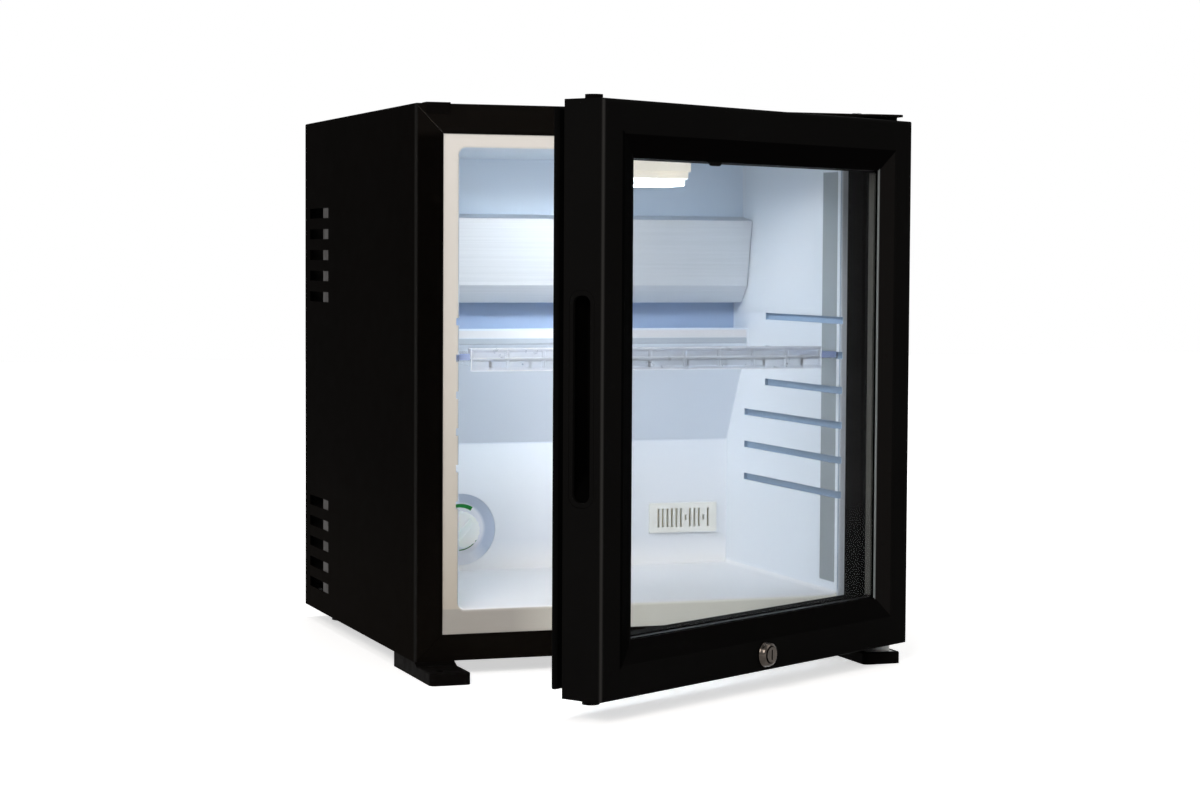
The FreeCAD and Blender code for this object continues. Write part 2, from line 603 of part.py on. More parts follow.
cavity = make_cavity("cavity")
dish_at = ("-dial_left", "front + rear_lower_deep", "dial_up")
dish_out = rod("dish_out", "y", "dish_radius + liner_thick", dish_at, "dish_into + liner_thick")
dish_in = rod("dish_in", "y", "dish_radius", ("-dial_left", "front + rear_lower_deep - overrun", "dial_up"),
              "dish_into + overrun")
shaft_hole = rod("shaft_hole", "y", "shaft_radius + knob_gap", dish_at, "2 * dish_radius")
sensor_hole = block("sensor_hole",
                    ("sensor_middle - sensor_wide / 2 + sensor_frame_wide",
                     "front + rear_lower_deep - overrun",
                     "base + sensor_high - sensor_tall / 2 + sensor_frame_wide"),
                    ("sensor_middle + sensor_wide / 2 - sensor_frame_wide",
                     "front + rear_lower_deep + liner_thick + sensor_pocket_deep",
                     "base + sensor_high + sensor_tall / 2 - sensor_frame_wide"))
drain_hole = rod("drain_hole", "y", "drain_radius",
                 ("-drain_left", "front + gutter_deep - overrun",
                  "base + gutter_floor_high + drain_radius"),
                 "2 * overrun + liner_thick")
liner_filled = joined("liner_filled", make_tub(),
                      *all_grooves("groove_out", "liner_thick", "front + sheet_thick + liner_thick"),
                      dish_out)
finish("inner_liner", cut("liner", liner_filled, *all_grooves("groove_in", "0", "front - overrun"),
                          dish_in, shaft_hole, sensor_hole, drain_hole))

# Top hinge: a steel plate whose tail passes through the flange and is screwed up under the roof
tail_low_x = "right - hinge_slot_in - hinge_tail_wide"


def nose_corner(edge):
    return runs("z")(edge) and near(edge, "y", "front - hinge_plate_reach")


plate_nose = prism("hinge_plate_nose", "z", [
    ("right - hinge_plate_wide", "front - hinge_plate_reach"),
                                             ("right - running_gap", "front - hinge_plate_reach"),
    ("right - running_gap", "front"), ("right - hinge_plate_wide", "front"),
], "hinge_plate_low", "hinge_plate_top", rounds=[(nose_corner, "hinge_round")])
plate_tail = block("hinge_plate_tail", (tail_low_x, "front - overrun", "hinge_plate_low"),
                   (tail_low_x + " + hinge_tail_wide", "front + hinge_tail_long", "hinge_plate_top"))
top_pin_low = "door_top - bush_long + running_gap"
top_pin = rod("top_pin", "z", "pin_radius", ("hinge_across", "hinge_along", top_pin_low),
              "hinge_plate_top - (%s)" % top_pin_low)
top_screws = []
for index in range(2):
    spot = (hinge_screw_x, hinge_screw_y(index), "roof")
    shank = rod("roof_screw_shank_%d" % index, "z", "screw_radius",
                spot[:2] + ("hinge_plate_low - screw_radius",), "roof - hinge_plate_low + screw_radius")
    head = rod("roof_screw_head_%d" % index, "z", "screw_head_radius", spot, "screw_head_thick / 2")
    top_screws.append(joined("roof_screw_%d" % index, head, shank))
finish("top_hinge_plate", cut("top_plate", joined("top_plate_whole", plate_nose, plate_tail), top_pin,
                              *top_screws))
packing = block("packing", (tail_low_x, "front + sheet_thick", "hinge_plate_top"),
                (tail_low_x + " + hinge_tail_wide", "front + hinge_tail_long", "roof - sheet_thick"))
finish("top_hinge_packing", cut("top_packing", packing, wrapper, *top_screws))
finish("top_hinge_screws", together("roof_screws", top_screws))

# Front feet: moulded blocks that reach forward under the door
foot_outline = [
    ("front - front_foot_reach", 0), ("front + front_foot_rear", 0),
                ("front + front_foot_rear", "foot_high"),
    ("front", "foot_high"), ("front - front_foot_slope", "foot_nose"),
                ("front - front_foot_reach", "foot_nose"),
]


def foot_nose_corner(edge):
    return runs("z")(edge) and near(edge, "y", "front - front_foot_reach")


def foot_top_edge(edge):
    """The rim of the foot's top in front of the cabinet."""
    return near(edge, "z", "foot_nose") and not near(edge, "y", "front - front_foot_slope")


def make_foot(side, low, high):
    return prism("foot_" + side, "x", foot_outline, low, high,
                 rounds=[(foot_nose_corner, "front_foot_round"), (foot_top_edge, "front_foot_edge")])


left_foot_body = make_foot("left", "left", "left + front_foot_wide")
right_foot_body = make_foot("right", "right - front_foot_wide", "right")
lower_pin = rod("lower_pin", "z", "pin_radius", ("hinge_across", "hinge_along", "foot_nose / 4"),
                "door_foot + bush_long - running_gap - foot_nose / 4")
lower_plate_low = "foot_nose - lower_plate_thick"
lower_plate_box = block("lower_plate_box",
                        ("right - front_foot_wide + front_foot_round",
                         "front - front_foot_reach + front_foot_round",
                         lower_plate_low),
                        ("right - front_foot_round", "front - front_foot_slope - front_foot_round",
                         "foot_nose"))
spare_hole = rod("spare_pin_hole", "z", "pin_radius",
                 ("left + hinge_inset", "hinge_along", "foot_nose / 2"), "foot_nose")
finish("left_front_foot", cut("left_foot", left_foot_body, spare_hole, *foot_screws[0:2], *sinks[0:2]))
finish("right_front_foot", cut("right_foot", right_foot_body, lower_pin, lower_plate_box,
                               *foot_screws[2:4], *sinks[2:4]))
finish("lower_hinge_plate", cut("lower_plate", lower_plate_box, lower_pin))
finish("hinge_pins", together("both_pins", [top_pin, lower_pin]))
washer = rod("washer_disc", "z", "washer_radius", ("hinge_across", "hinge_along", "foot_nose"),
             "door_foot - running_gap - foot_nose")
finish("hinge_washer", cut("washer", washer, lower_pin))
rear_foot_discs = []
for index, (across, along, _) in enumerate(rear_foot_spots, start=len(foot_spots) - len(rear_foot_spots)):
    disc = taper("rear_foot_%d" % index, "z", "rear_foot_radius", "rear_foot_radius - rear_foot_taper",
                 (across, along, "0"), "foot_high")
    rear_foot_discs.append(cut("rear_foot_cut_%d" % index, disc, foot_screws[index], sinks[index]))
finish("rear_feet", together("rear_feet_pair", rear_foot_discs))

# Keeper: a plate under the cabinet front that the lock's cam drops into
cam_front = "door_front + lock_barrel_long"
keeper_box = block("keeper_box", ("-keeper_wide / 2", "front - keeper_reach", "base - keeper_thick"),
                   ("keeper_wide / 2", "front + keeper_rear", "base"))
keeper_slot = block("keeper_slot",
                    ("-keeper_slot_wide / 2", cam_front + " - keeper_slot_room", "base - 2 * keeper_thick"),
                    ("keeper_slot_wide / 2", cam_front + " + cam_thick + keeper_slot_room",
                     "base + keeper_thick"))
finish("lock_keeper", cut("keeper", keeper_box, keeper_slot, *keeper_screws))

# Blank cover over the unused hinge slot, hooked over the roof's front edge
cover_low_x = "left + hinge_slot_in"
cover_front = block("cover_front", (cover_low_x, "front - cover_thick", "roof - cover_drop"),
                    (cover_low_x + " + cover_wide", "front", "roof + cover_thick"))
cover_top = block("cover_top", (cover_low_x, "front - cover_thick", "roof"),
                  (cover_low_x + " + cover_wide", "front + cover_top_long", "roof + cover_thick"))
cover_tongue = block("cover_tongue", (cover_low_x, "front - cover_thick", "hinge_plate_low"),
                     (cover_low_x + " + hinge_tail_wide", "front + cover_tongue", "hinge_plate_top"))
finish("blank_hinge_cover", joined("cover", cover_front, cover_top, cover_tongue))

# Evaporator plate: folded aluminium sheet in front of the cooled upper wall
half_plate = "inside_half - plate_side_gap"
plate_front = [
    ("front + rear_upper_deep", "base + plate_top_high + plate_return_rise"),
    ("front + plate_top_deep", "base + plate_top_high"),
    ("front + plate_fold_deep", "base + plate_fold_high"),
               ("front + plate_foot_deep", "base + plate_foot_high"),
]


def plate_rear_at(up):
    """A point of the plate's leaning rear face, at a height above the cabinet's underside."""
    return ("front + plate_fold_deep + plate_back + (%s - plate_fold_high) * plate_lean" % up,
            "base + " + up)


plate_rear = [
    ("front + plate_foot_deep + plate_thick", "base + plate_foot_high + plate_thick"),
    plate_rear_at("plate_fold_high"), plate_rear_at("(plate_top_high - plate_thick)"),
    ("front + rear_upper_deep", "base + plate_top_high + plate_return_rise - plate_thick"),
]
finish("evaporator_plate", prism("cold_plate", "x", plate_front + plate_rear, minus(half_plate),
                                 half_plate))
block_back = "front + rear_upper_deep"
finish("evaporator_block", prism("cold_block", "x", [
    plate_rear_at("block_low_high"), (block_back, "base + block_low_high"),
    (block_back, "base + block_low_high + block_tall"), plate_rear_at("(block_low_high + block_tall)"),
], "-block_wide / 2", "block_wide / 2"))

# Cold tube: a hairpin in the foam behind the upper wall, out through the back sheet at both ends
cold_y = "front + cold_tube_deep"
unit_y = "front + unit_deep"
low_cold, high_cold = "base + cold_tube_high", "base + cold_tube_high + cold_tube_pitch"
cold_route = [
    ("-cold_tube_wide / 2", unit_y, low_cold), ("-cold_tube_wide / 2", cold_y, low_cold),
    ("cold_tube_wide / 2", cold_y, low_cold), ("cold_tube_wide / 2", cold_y, high_cold),
    ("-cold_tube_wide / 2", cold_y, high_cold), ("-cold_tube_wide / 2", unit_y, high_cold),
]
cold_tube = tube("cold_tube", cold_route, "cold_tube_radius", "cold_tube_bend")
finish("evaporator_tube", cold_tube)

# Gutter drain: a short spout from the gutter through the foam
drain_route = ("-drain_left", "front + gutter_deep + liner_thick",
               "base + gutter_floor_high + drain_radius")
drain = rod("drain_tube", "y", "drain_radius", drain_route,
            "insulated_deep + drain_radius - gutter_deep - liner_thick")
drain_bore = rod("drain_bore", "y", "drain_radius - liner_thick", drain_route, "insulated_deep")
finish("gutter_drain", cut("drain_spout", drain, drain_bore))

# Absorber: a vessel low down and a stacked coil above it
vessel_start = ("vessel_right - vessel_long", unit_y, "base + vessel_high")
vessel = rod("vessel", "x", "vessel_radius", vessel_start, "vessel_long")
coil_left, coil_right = "-cold_tube_wide / 2", "coil_wide - cold_tube_wide / 2"
coil_route = [(coil_right, unit_y, "base + vessel_high"), (coil_right, unit_y, "base + coil_first_high")]
for index in range(COUNTS["coil_runs"]):
    up = "base + coil_first_high + %d * coil_pitch" % index
    ends = (coil_right, coil_left) if index % 2 == 0 else (coil_left, coil_right)
    if index:
        coil_route.append((ends[0], unit_y, up))
    coil_route.append((ends[1], unit_y, up))
coil_route.append((coil_left, unit_y, low_cold + " - cold_tube_radius"))
coil = tube("coil", coil_route, "hot_tube_radius", "hot_tube_bend")
boiler_x = "boiler_right - boiler_wide / 2"
solution_route = [("vessel_right - overrun", unit_y, "base + vessel_high"),
                  (boiler_x, unit_y, "base + vessel_high"),
                  (boiler_x, unit_y, "base + boiler_low_high")]
solution_tube = tube("solution_tube", solution_route, "solution_tube_radius", "solution_tube_bend")
vessel_and_tube = joined("vessel_and_tube", vessel, solution_tube)
finish("absorber_vessel", vessel_and_tube)
finish("absorber_coil", cut("coil_on_vessel", coil, vessel_and_tube))

# Boiler: the heated tube in its insulated case
boiler_low_y = unit_y + " - boiler_deep / 2"
finish("boiler_case", block("boiler",
                            ("boiler_right - boiler_wide", boiler_low_y, "base + boiler_low_high"),
                            ("boiler_right", boiler_low_y + " + boiler_deep",
                             "base + boiler_low_high + boiler_tall")))

# Vapour pipe: up from the boiler, along the finned condenser and back down to the cold tube
vapour_route = [
    (boiler_x, unit_y, "base + boiler_low_high + boiler_tall"), (boiler_x, unit_y, "base + condenser_high"),
    ("-condenser_left - cold_tube_bend", unit_y, "base + condenser_high"),
    ("-condenser_left - cold_tube_bend", unit_y, high_cold),
    ("-cold_tube_wide / 2 - cold_tube_radius", unit_y, high_cold),
]
vapour = tube("vapour", vapour_route, "hot_tube_radius", "hot_tube_bend")
finish("vapour_pipe", cut("vapour_end", vapour, cold_tube))
fins = []
for index in range(COUNTS["fins"]):
    fin_x = "fin_right - %d * fin_pitch" % index
    fins.append(block("fin_%d" % index,
                      (fin_x, unit_y + " - fin_wide / 2", "base + condenser_high - fin_tall / 2"),
                      (fin_x + " + fin_thick", unit_y + " + fin_wide / 2",
                       "base + condenser_high + fin_tall / 2")))
finish("condenser_fins", cut("fins_on_pipe", together("fins", fins), vapour))

# Control box with the mains inlet in its rear face
control_x = "boiler_right + running_gap"
control = block("control", (control_x, "back_sheet_at", "base + control_low_high"),
                (control_x + " + control_wide", "back_sheet_at + control_deep",
                 "base + control_low_high + control_tall"))
finish("control_box", control)
inlet_x = control_x + " + control_wide / 2"
inlet_z = "base + control_low_high + control_tall / 2"
inlet_body = block("inlet_body", (inlet_x + " - inlet_wide / 2", "back_sheet_at + control_deep",
                                  inlet_z + " - inlet_tall / 2"),
                   (inlet_x + " + inlet_wide / 2", "rear", inlet_z + " + inlet_tall / 2"))
inlet_cup = block("inlet_cup",
                  (inlet_x + " - inlet_wide / 2 + inlet_wall", "rear - inlet_cup_deep",
                   inlet_z + " - inlet_tall / 2 + inlet_wall"),
                  (inlet_x + " + inlet_wide / 2 - inlet_wall", "rear + overrun",
                   inlet_z + " + inlet_tall / 2 - inlet_wall"))
inlet_pins = []
for index in (-1, 0, 1):
    inlet_pins.append(rod("inlet_pin_%d" % (index + 1), "y", "inlet_pin_radius",
                          ("%s + %d * inlet_pin_pitch" % (inlet_x, index),
                           "rear - inlet_cup_deep - overrun", inlet_z),
                          "inlet_cup_deep - overrun"))
finish("mains_inlet", joined("inlet", cut("inlet_shell", inlet_body, inlet_cup), *inlet_pins))

# Rear grille: a slotted steel sheet between the wrapper's sides
grille_sheet = block("grille_sheet", ("left + sheet_thick", "rear - sheet_thick", "base + sheet_thick"),
                     ("right - sheet_thick", "rear", "roof - sheet_thick"))
inlet_low_x, inlet_high_x = inlet_x + " - inlet_wide / 2", inlet_x + " + inlet_wide / 2"
inlet_low_z, inlet_high_z = inlet_z + " - inlet_tall / 2", inlet_z + " + inlet_tall / 2"


def beside_inlet(low_x, low_z):
    """True where a slot of the grille would come within a slot's height of the mains inlet."""
    across = number(low_x + " + grille_slot_wide") > number(inlet_low_x)
    lowest = number(inlet_low_z + " - 2 * grille_slot_high")
    highest = number(inlet_high_z + " + grille_slot_high")
    up = lowest < number(low_z) < highest
    return across and up


grille_slots = []
for column in range(COUNTS["grille_columns"]):
    for line in range(COUNTS["grille_lines"]):
        low_x = "left + grille_edge + %d * (grille_slot_wide + grille_post)" % column
        low_z = "base + grille_edge + %d * grille_slot_pitch" % line
        if beside_inlet(low_x, low_z):
            continue
        grille_slots.append(block("grille_slot_%d_%d" % (column, line), (low_x, "rear - overrun", low_z),
                                  (low_x + " + grille_slot_wide", "rear + overrun",
                                   low_z + " + grille_slot_high")))
inlet_window = block("inlet_window", (inlet_low_x, "rear - overrun", inlet_low_z),
                     (inlet_high_x, "rear + overrun", inlet_high_z))
grille_blocks = []
grille_screws = []
for side, sense in (("left", 1), ("right", -1)):
    wall = "%s + %d * sheet_thick" % (side, sense)
    reach = "%s + %d * 2 * grille_screw_in" % (side, sense)
    for end, middle in (("low", "base + sheet_thick + grille_screw_in"),
                        ("high", "roof - sheet_thick - grille_screw_in")):
        spot = ("%s + %d * grille_screw_in" % (side, sense), "rear", middle)
        grille_screws.append(screw("grille_screw_%s_%s" % (side, end), "y", spot, 1))
        grille_blocks.append(block("grille_block_%s_%s" % (side, end),
                                   (wall if sense > 0 else reach, "rear - sheet_thick - grille_block_thick",
                                    middle + " - grille_screw_in / 2"),
                                   (reach if sense > 0 else wall, "rear - sheet_thick",
                                    middle + " + grille_screw_in / 2")))
finish("rear_grille", cut("grille", grille_sheet, wrapper, together("grille_openings", grille_slots),
                          inlet_window,
                          *grille_screws))
finish("grille_screws", together("four_grille_screws", grille_screws))
finish("grille_blocks", cut("grille_blocks_cut", together("four_grille_blocks", grille_blocks),
                            *grille_screws))

# Lamp: a housing on the ceiling with a board of white diodes over a diffusing lens
lamp_low_z = "ceiling - lamp_tall"
lamp_y0, lamp_y1 = "front + lamp_start_deep", "front + lamp_start_deep + lamp_deep"
lamp_box = block("lamp_box", ("-lamp_wide / 2", lamp_y0, lamp_low_z), ("lamp_wide / 2", lamp_y1, "ceiling"))
lamp_room = block("lamp_room", ("-lamp_wide / 2 + lamp_wall", lamp_y0 + " + lamp_wall",
                                lamp_low_z + " - overrun"),
                  ("lamp_wide / 2 - lamp_wall", lamp_y1 + " - lamp_wall", "ceiling - lamp_wall"))
finish("lamp_housing", cut("lamp_shell", lamp_box, lamp_room))
board_top = "ceiling - lamp_wall"
board = block("board_slab", ("-lamp_wide / 2 + lamp_wall + lens_inset",
                             lamp_y0 + " + lamp_wall + lens_inset",
                             board_top + " - board_thick"),
              ("lamp_wide / 2 - lamp_wall - lens_inset", lamp_y1 + " - lamp_wall - lens_inset", board_top))
leds = []
for index in range(COUNTS["lamp_leds"]):
    led_x = "%s * led_pitch" % centred(index, COUNTS["lamp_leds"])
    led_y = lamp_y0 + " + lamp_deep / 2"
    leds.append(block("led_%d" % index,
                      (led_x + " - led_size / 2", led_y + " - led_size / 2",
                       board_top + " - board_thick - led_tall"),
                      (led_x + " + led_size / 2", led_y + " + led_size / 2", board_top + " - board_thick")))
finish("led_board", joined("board", board, *leds))
lens_skirt = block("lens_skirt",
                   ("-lamp_wide / 2 + lamp_wall", lamp_y0 + " + lamp_wall", lamp_low_z),
                   ("lamp_wide / 2 - lamp_wall", lamp_y1 + " - lamp_wall", lamp_low_z + " + lamp_wall"))


def lens_low_edge(edge):
    return near(edge, "z", lamp_low_z + " - lens_tall")


lens_bowl = prism("lens_bowl", "z", [
    ("-lamp_wide / 2 + lens_inset", lamp_y0 + " + lens_inset"),
                                     ("lamp_wide / 2 - lens_inset", lamp_y0 + " + lens_inset"),
    ("lamp_wide / 2 - lens_inset", lamp_y1 + " - lens_inset"),
                                     ("-lamp_wide / 2 + lens_inset", lamp_y1 + " - lens_inset"),
], lamp_low_z + " - lens_tall", lamp_low_z, rounds=[(lens_low_edge, "lens_round")])
lens_room = block("lens_room",
                  ("-lamp_wide / 2 + lens_inset + lens_thick", lamp_y0 + " + lens_inset + lens_thick",
                   lamp_low_z + " - lens_tall + lens_thick"),
                  ("lamp_wide / 2 - lens_inset - lens_thick", lamp_y1 + " - lens_inset - lens_thick",
                   lamp_low_z + " + lamp_wall + overrun"))
finish("lamp_lens", cut("lens", joined("lens_solid", lens_skirt, lens_bowl), lens_room))

# Thermostat: switch body in the foam, fixed dial ring in the dish and a knob on its shaft
dial_y = "dish_floor - dial_ring_thick"
ring_disc = rod("ring_disc", "y", "dial_ring_radius", ("-dial_left", dial_y, "dial_up"), "dial_ring_thick")
ring_bore = rod("ring_bore", "y", "shaft_radius + knob_gap",
                ("-dial_left", dial_y + " - overrun", "dial_up"), "2 * dish_into")
finish("dial_ring", cut("dial", ring_disc, ring_bore))
switch_y = "dish_floor + liner_thick"
switch_box = block("switch_box",
                   ("-dial_left - thermostat_size / 2", switch_y, "dial_up - thermostat_size / 2"),
                   ("-dial_left + thermostat_size / 2", switch_y + " + thermostat_deep",
                    "dial_up + thermostat_size / 2"))
switch_bore = rod("switch_bore", "y", "shaft_radius + turn_clearance",
                  ("-dial_left", switch_y + " - overrun", "dial_up"), "shaft_into + overrun + knob_gap")
finish("thermostat_body", cut("switch", switch_box, switch_bore))
knob_back = dial_y + " - knob_gap"
knob_skirt = taper("knob_skirt", "y", "knob_radius - knob_draft", "knob_radius",
                   ("-dial_left", knob_back + " - knob_tall + knob_grip_tall", "dial_up"),
                   "knob_tall - knob_grip_tall")
knob_grip = block("knob_grip", ("-dial_left - knob_grip_wide / 2", knob_back + " - knob_tall",
                                "dial_up - knob_radius + knob_draft"),
                  ("-dial_left + knob_grip_wide / 2", knob_back + " - knob_tall + knob_grip_tall",
                   "dial_up + knob_radius - knob_draft"))
knob_shaft = rod("knob_shaft", "y", "shaft_radius", ("-dial_left", knob_back + " - overrun", "dial_up"),
                 "overrun + knob_gap + dial_ring_thick + liner_thick + shaft_into")
finish("thermostat_knob", joined("knob", knob_skirt, knob_grip, knob_shaft))

# Sensor grille: a small slotted plate on the rear wall
sensor_face = block("sensor_face",
                    ("sensor_middle - sensor_wide / 2", "front + rear_lower_deep - sensor_thick",
                     "base + sensor_high - sensor_tall / 2"),
                    ("sensor_middle + sensor_wide / 2", "front + rear_lower_deep",
                     "base + sensor_high + sensor_tall / 2"))
sensor_slots = []
for index in range(COUNTS["sensor_slots"]):
    slot_x = "sensor_middle + %s * sensor_slot_pitch" % centred(index, COUNTS["sensor_slots"])
    slot_tall = "sensor_dot_tall" if index in SENSOR_DOTS else "sensor_slot_tall"
    sensor_slots.append(block("sensor_slot_%d" % index,
                              (slot_x + " - sensor_slot_wide / 2",
                               "front + rear_lower_deep - sensor_thick - overrun",
                               "base + sensor_high - %s / 2" % slot_tall),
                              (slot_x + " + sensor_slot_wide / 2", "front + rear_lower_deep + overrun",
                               "base + sensor_high + %s / 2" % slot_tall)))
finish("sensor_grille", cut("sensor_cover", sensor_face, *sensor_slots))

# Foam: fills between the wrapper and the liner, round everything buried in it
foam_back = "back_sheet_at - sheet_thick"


def foam_fold(edge):
    """The long edges that follow the folds of the wrapper."""
    across_top = near(edge, "z", "roof - sheet_thick") and not near(edge, "y", foam_back)
    return across_top or (runs("z")(edge) and near(edge, "y", "front + sheet_thick"))


foam_block = prism("foam_block", "z", [
    ("left + sheet_thick", "front + sheet_thick"), ("right - sheet_thick", "front + sheet_thick"),
    ("right - sheet_thick", foam_back), ("left + sheet_thick", foam_back),
], "base + sheet_thick", "roof - sheet_thick", rounds=[(foam_fold, "fold_radius - sheet_thick")])
foam_mouth = block("foam_mouth", ("-inside_half - rim_round", "front - overrun",
                                  "inside_floor - rim_round"),
                   ("inside_half + rim_round", "front + sheet_thick + rim_round", "ceiling + rim_round"))
cover_pocket = block("cover_pocket", (cover_low_x, "front", "hinge_plate_low"),
                     (cover_low_x + " + hinge_tail_wide", "front + cover_tongue", "hinge_plate_top"))
finish("insulation_foam", cut("foam", foam_block, liner_filled, cavity, foam_mouth, cover_pocket,
                              plate_tail, packing,
                              cold_tube, drain, switch_box, sensor_hole, *top_screws, *foot_screws[0:4],
                              *keeper_screws, *back_parts[1:]))
finish("back_sheet", cut("back_panel", back_whole, wrapper, cold_tube, drain))

# Shelf: a clear moulded plate on runners, ribbed below, with a clear front rail
shelf_y0 = "front + shelf_start_deep"
shelf_y1 = "front + shelf_start_deep + shelf_deep"
shelf_plate = block("shelf_plate", ("-inside_half + shelf_side_gap", shelf_y0 + " + shelf_front_thick",
                                    "shelf_low"),
                    ("inside_half - shelf_side_gap", shelf_y1, "shelf_low + shelf_thick"))
runners = []
for side, low, high in (("left", "-shelf_groove_half", "-shelf_groove_half + shelf_runner_wide"),
                        ("right", "shelf_groove_half - shelf_runner_wide", "shelf_groove_half")):
    runners.append(block("runner_" + side, (low, shelf_y0, "shelf_low"),
                         (high, shelf_y1, "shelf_low + shelf_runner_tall")))
ribs = []
for index in range(COUNTS["shelf_ribs"]):
    rib_x = "%s * shelf_rib_pitch" % centred(index, COUNTS["shelf_ribs"])
    ribs.append(block("shelf_rib_%d" % index,
                      (rib_x + " - shelf_rib_thick / 2", shelf_y0 + " + shelf_front_thick",
                       "shelf_low - shelf_rib_tall"),
                      (rib_x + " + shelf_rib_thick / 2", shelf_y1 + " - shelf_rib_tall", "shelf_low")))
back_rib = block("shelf_back_rib", ("-inside_half + shelf_front_inset", shelf_y1 + " - shelf_rib_thick",
                                    "shelf_low - shelf_rib_tall"),
                 ("inside_half - shelf_front_inset", shelf_y1, "shelf_low"))
finish("shelf_panel", joined("shelf", shelf_plate, *runners, *ribs, back_rib))
rail_x = "inside_half - shelf_front_inset"
rail_top = "shelf_low + shelf_runner_tall + shelf_front_rise"
rail_face = block("rail_face", (minus(rail_x), shelf_y0, rail_top + " - shelf_front_tall"),
                  (rail_x, shelf_y0 + " + shelf_front_thick", rail_top))
cells = []
for index in range(COUNTS["shelf_cells"]):
    cell_x = "%s * shelf_cell_pitch" % centred(index, COUNTS["shelf_cells"])
    cells.append(block("cell_wall_%d" % index,
                       (cell_x + " - shelf_rib_thick / 2", shelf_y0 + " + shelf_front_thick",
                        "shelf_low + shelf_thick"),
                       (cell_x + " + shelf_rib_thick / 2",
                        shelf_y0 + " + shelf_front_thick + shelf_cell_deep", rail_top)))
rail_back = block("rail_back", (minus(rail_x),
                                shelf_y0 + " + shelf_front_thick + shelf_cell_deep - shelf_rib_thick",
                                "shelf_low + shelf_thick"),
                  (rail_x, shelf_y0 + " + shelf_front_thick + shelf_cell_deep", rail_top))
finish("shelf_front_rail", joined("rail", rail_face, *cells, rail_back))


# Door frame: four hollow profiles cut at forty five degrees
def section(edge, inward, along_door):
    """A profile's outer and chamber outlines. Edge is the door's outer line, inward is 1 or -1."""
    def across(text):
        return "%s + %d * (%s)" % (edge, inward, text)
    outer = [
        (across("0"), "door_front"), (across("frame_flat"), "door_front"),
        (across("frame_wide"), "door_front + bevel_deep"), (across("frame_wide"), "pane_front"),
        (across("rebate_from_edge"), "pane_front"), (across("rebate_from_edge"), "frame_back"),
        (across("0"), "frame_back"),
    ]
    chamber = [
        (across("profile_wall"), "door_front + profile_wall"),
        (across("rebate_from_edge - profile_wall"), "door_front + profile_wall"),
        (across("rebate_from_edge - profile_wall"), "frame_back - profile_wall"),
        (across("profile_wall"), "frame_back - profile_wall"),
    ]
    if along_door == "x":
        outer = [(depth, up) for up, depth in outer]
        chamber = [(depth, up) for up, depth in chamber]
    return outer, chamber


def profile(name, edge, inward, along, start, end):
    outer, chamber = section(edge, inward, along)

    def front_corner(line):
        return near(line, "y", "door_front") and near(line, "x" if along == "z" else "z", edge)
    return prism(name, along, outer, start, end, hole=chamber, rounds=[(front_corner, "frame_round")])


def mitre(name, corners):
    return prism(name, "y", corners, "door_front - overrun", "frame_back + overrun")


def inside(side, amount="frame_wide"):
    """A line at some distance in from one side of the door."""
    return {"left": "left + (%s)", "right": "right - (%s)",
            "top": "door_top - (%s)", "foot": "door_foot + (%s)"}[side] % amount


mitres = {
    "left": [("left", "door_foot"), (inside("left"), inside("foot")), (inside("left"), inside("top")),
             ("left", "door_top")],
    "right": [("right", "door_foot"), ("right", "door_top"), (inside("right"), inside("top")),
              (inside("right"), inside("foot"))],
    "top": [("left", "door_top"), (inside("left"), inside("top")), (inside("right"), inside("top")),
            ("right", "door_top")],
    "foot": [("left", "door_foot"), ("right", "door_foot"), (inside("right"), inside("foot")),
             (inside("left"), inside("foot"))],
}
frame_sides = {
    "left": ("left", 1, "z", "door_foot", "door_top"), "right": ("right", -1, "z", "door_foot", "door_top"),
    "top": ("door_top", -1, "x", "left", "right"), "foot": ("door_foot", 1, "x", "left", "right"),
}
frame_parts = {}
for side, values in frame_sides.items():
    whole = profile("profile_" + side, *values)
    frame_parts[side] = shared("mitred_" + side, whole, mitre("mitre_" + side, mitres[side]))

# Holes at the four corners for bushes and plugs
bush_x, plug_x = "hinge_across", "left + hinge_inset"
top_bush_z = "door_top - bush_long"
corner_holes = {}
for name_of, across in (("bush", bush_x), ("plug", plug_x)):
    for end, low in (("top", top_bush_z), ("foot", "door_foot - overrun")):
        corner_holes[name_of, end] = rod("%s_hole_%s" % (name_of, end), "z", "bush_radius",
                                         (across, "hinge_along", low), "bush_long + overrun")

# Handle cup: a moulding let into the free stile's outer side
handle_y0 = "door_front + handle_cup_from_front"
handle_y1 = handle_y0 + " + handle_cup_wide"
cup_low_z = "base + handle_low_high + (handle_tall - handle_cup_tall) / 2"
cup_high_z = cup_low_z + " + handle_cup_tall"


def cup_corner(edge):
    return runs("x")(edge)


cup_out = prism("cup_out", "x", [
    (handle_y0 + " - handle_wall", cup_low_z + " - handle_wall"),
                                 (handle_y1 + " + handle_wall", cup_low_z + " - handle_wall"),
    (handle_y1 + " + handle_wall", cup_high_z + " + handle_wall"),
                                 (handle_y0 + " - handle_wall", cup_high_z + " + handle_wall"),
], "left", "left + handle_cup_into + handle_wall", rounds=[(cup_corner, "handle_cup_wide / 2")])
cup_in = prism("cup_in", "x", [
    (handle_y0, cup_low_z), (handle_y1, cup_low_z), (handle_y1, cup_high_z), (handle_y0, cup_high_z),
], "left - overrun", "left + handle_cup_into", rounds=[(cup_corner, "handle_cup_wide / 2 - handle_wall")])
plate_y0, plate_y1 = handle_y0 + " - handle_plate_border", handle_y1 + " + handle_plate_border"
plate_low_z = "base + handle_low_high"
plate_high_z = plate_low_z + " + handle_tall"
handle_plate = prism("handle_plate", "x", [
    (plate_y0, plate_low_z), (plate_y1, plate_low_z), (plate_y1, plate_high_z), (plate_y0, plate_high_z),
], "left - handle_plate_thick", "left", rounds=[(cup_corner, "handle_plate_round")])
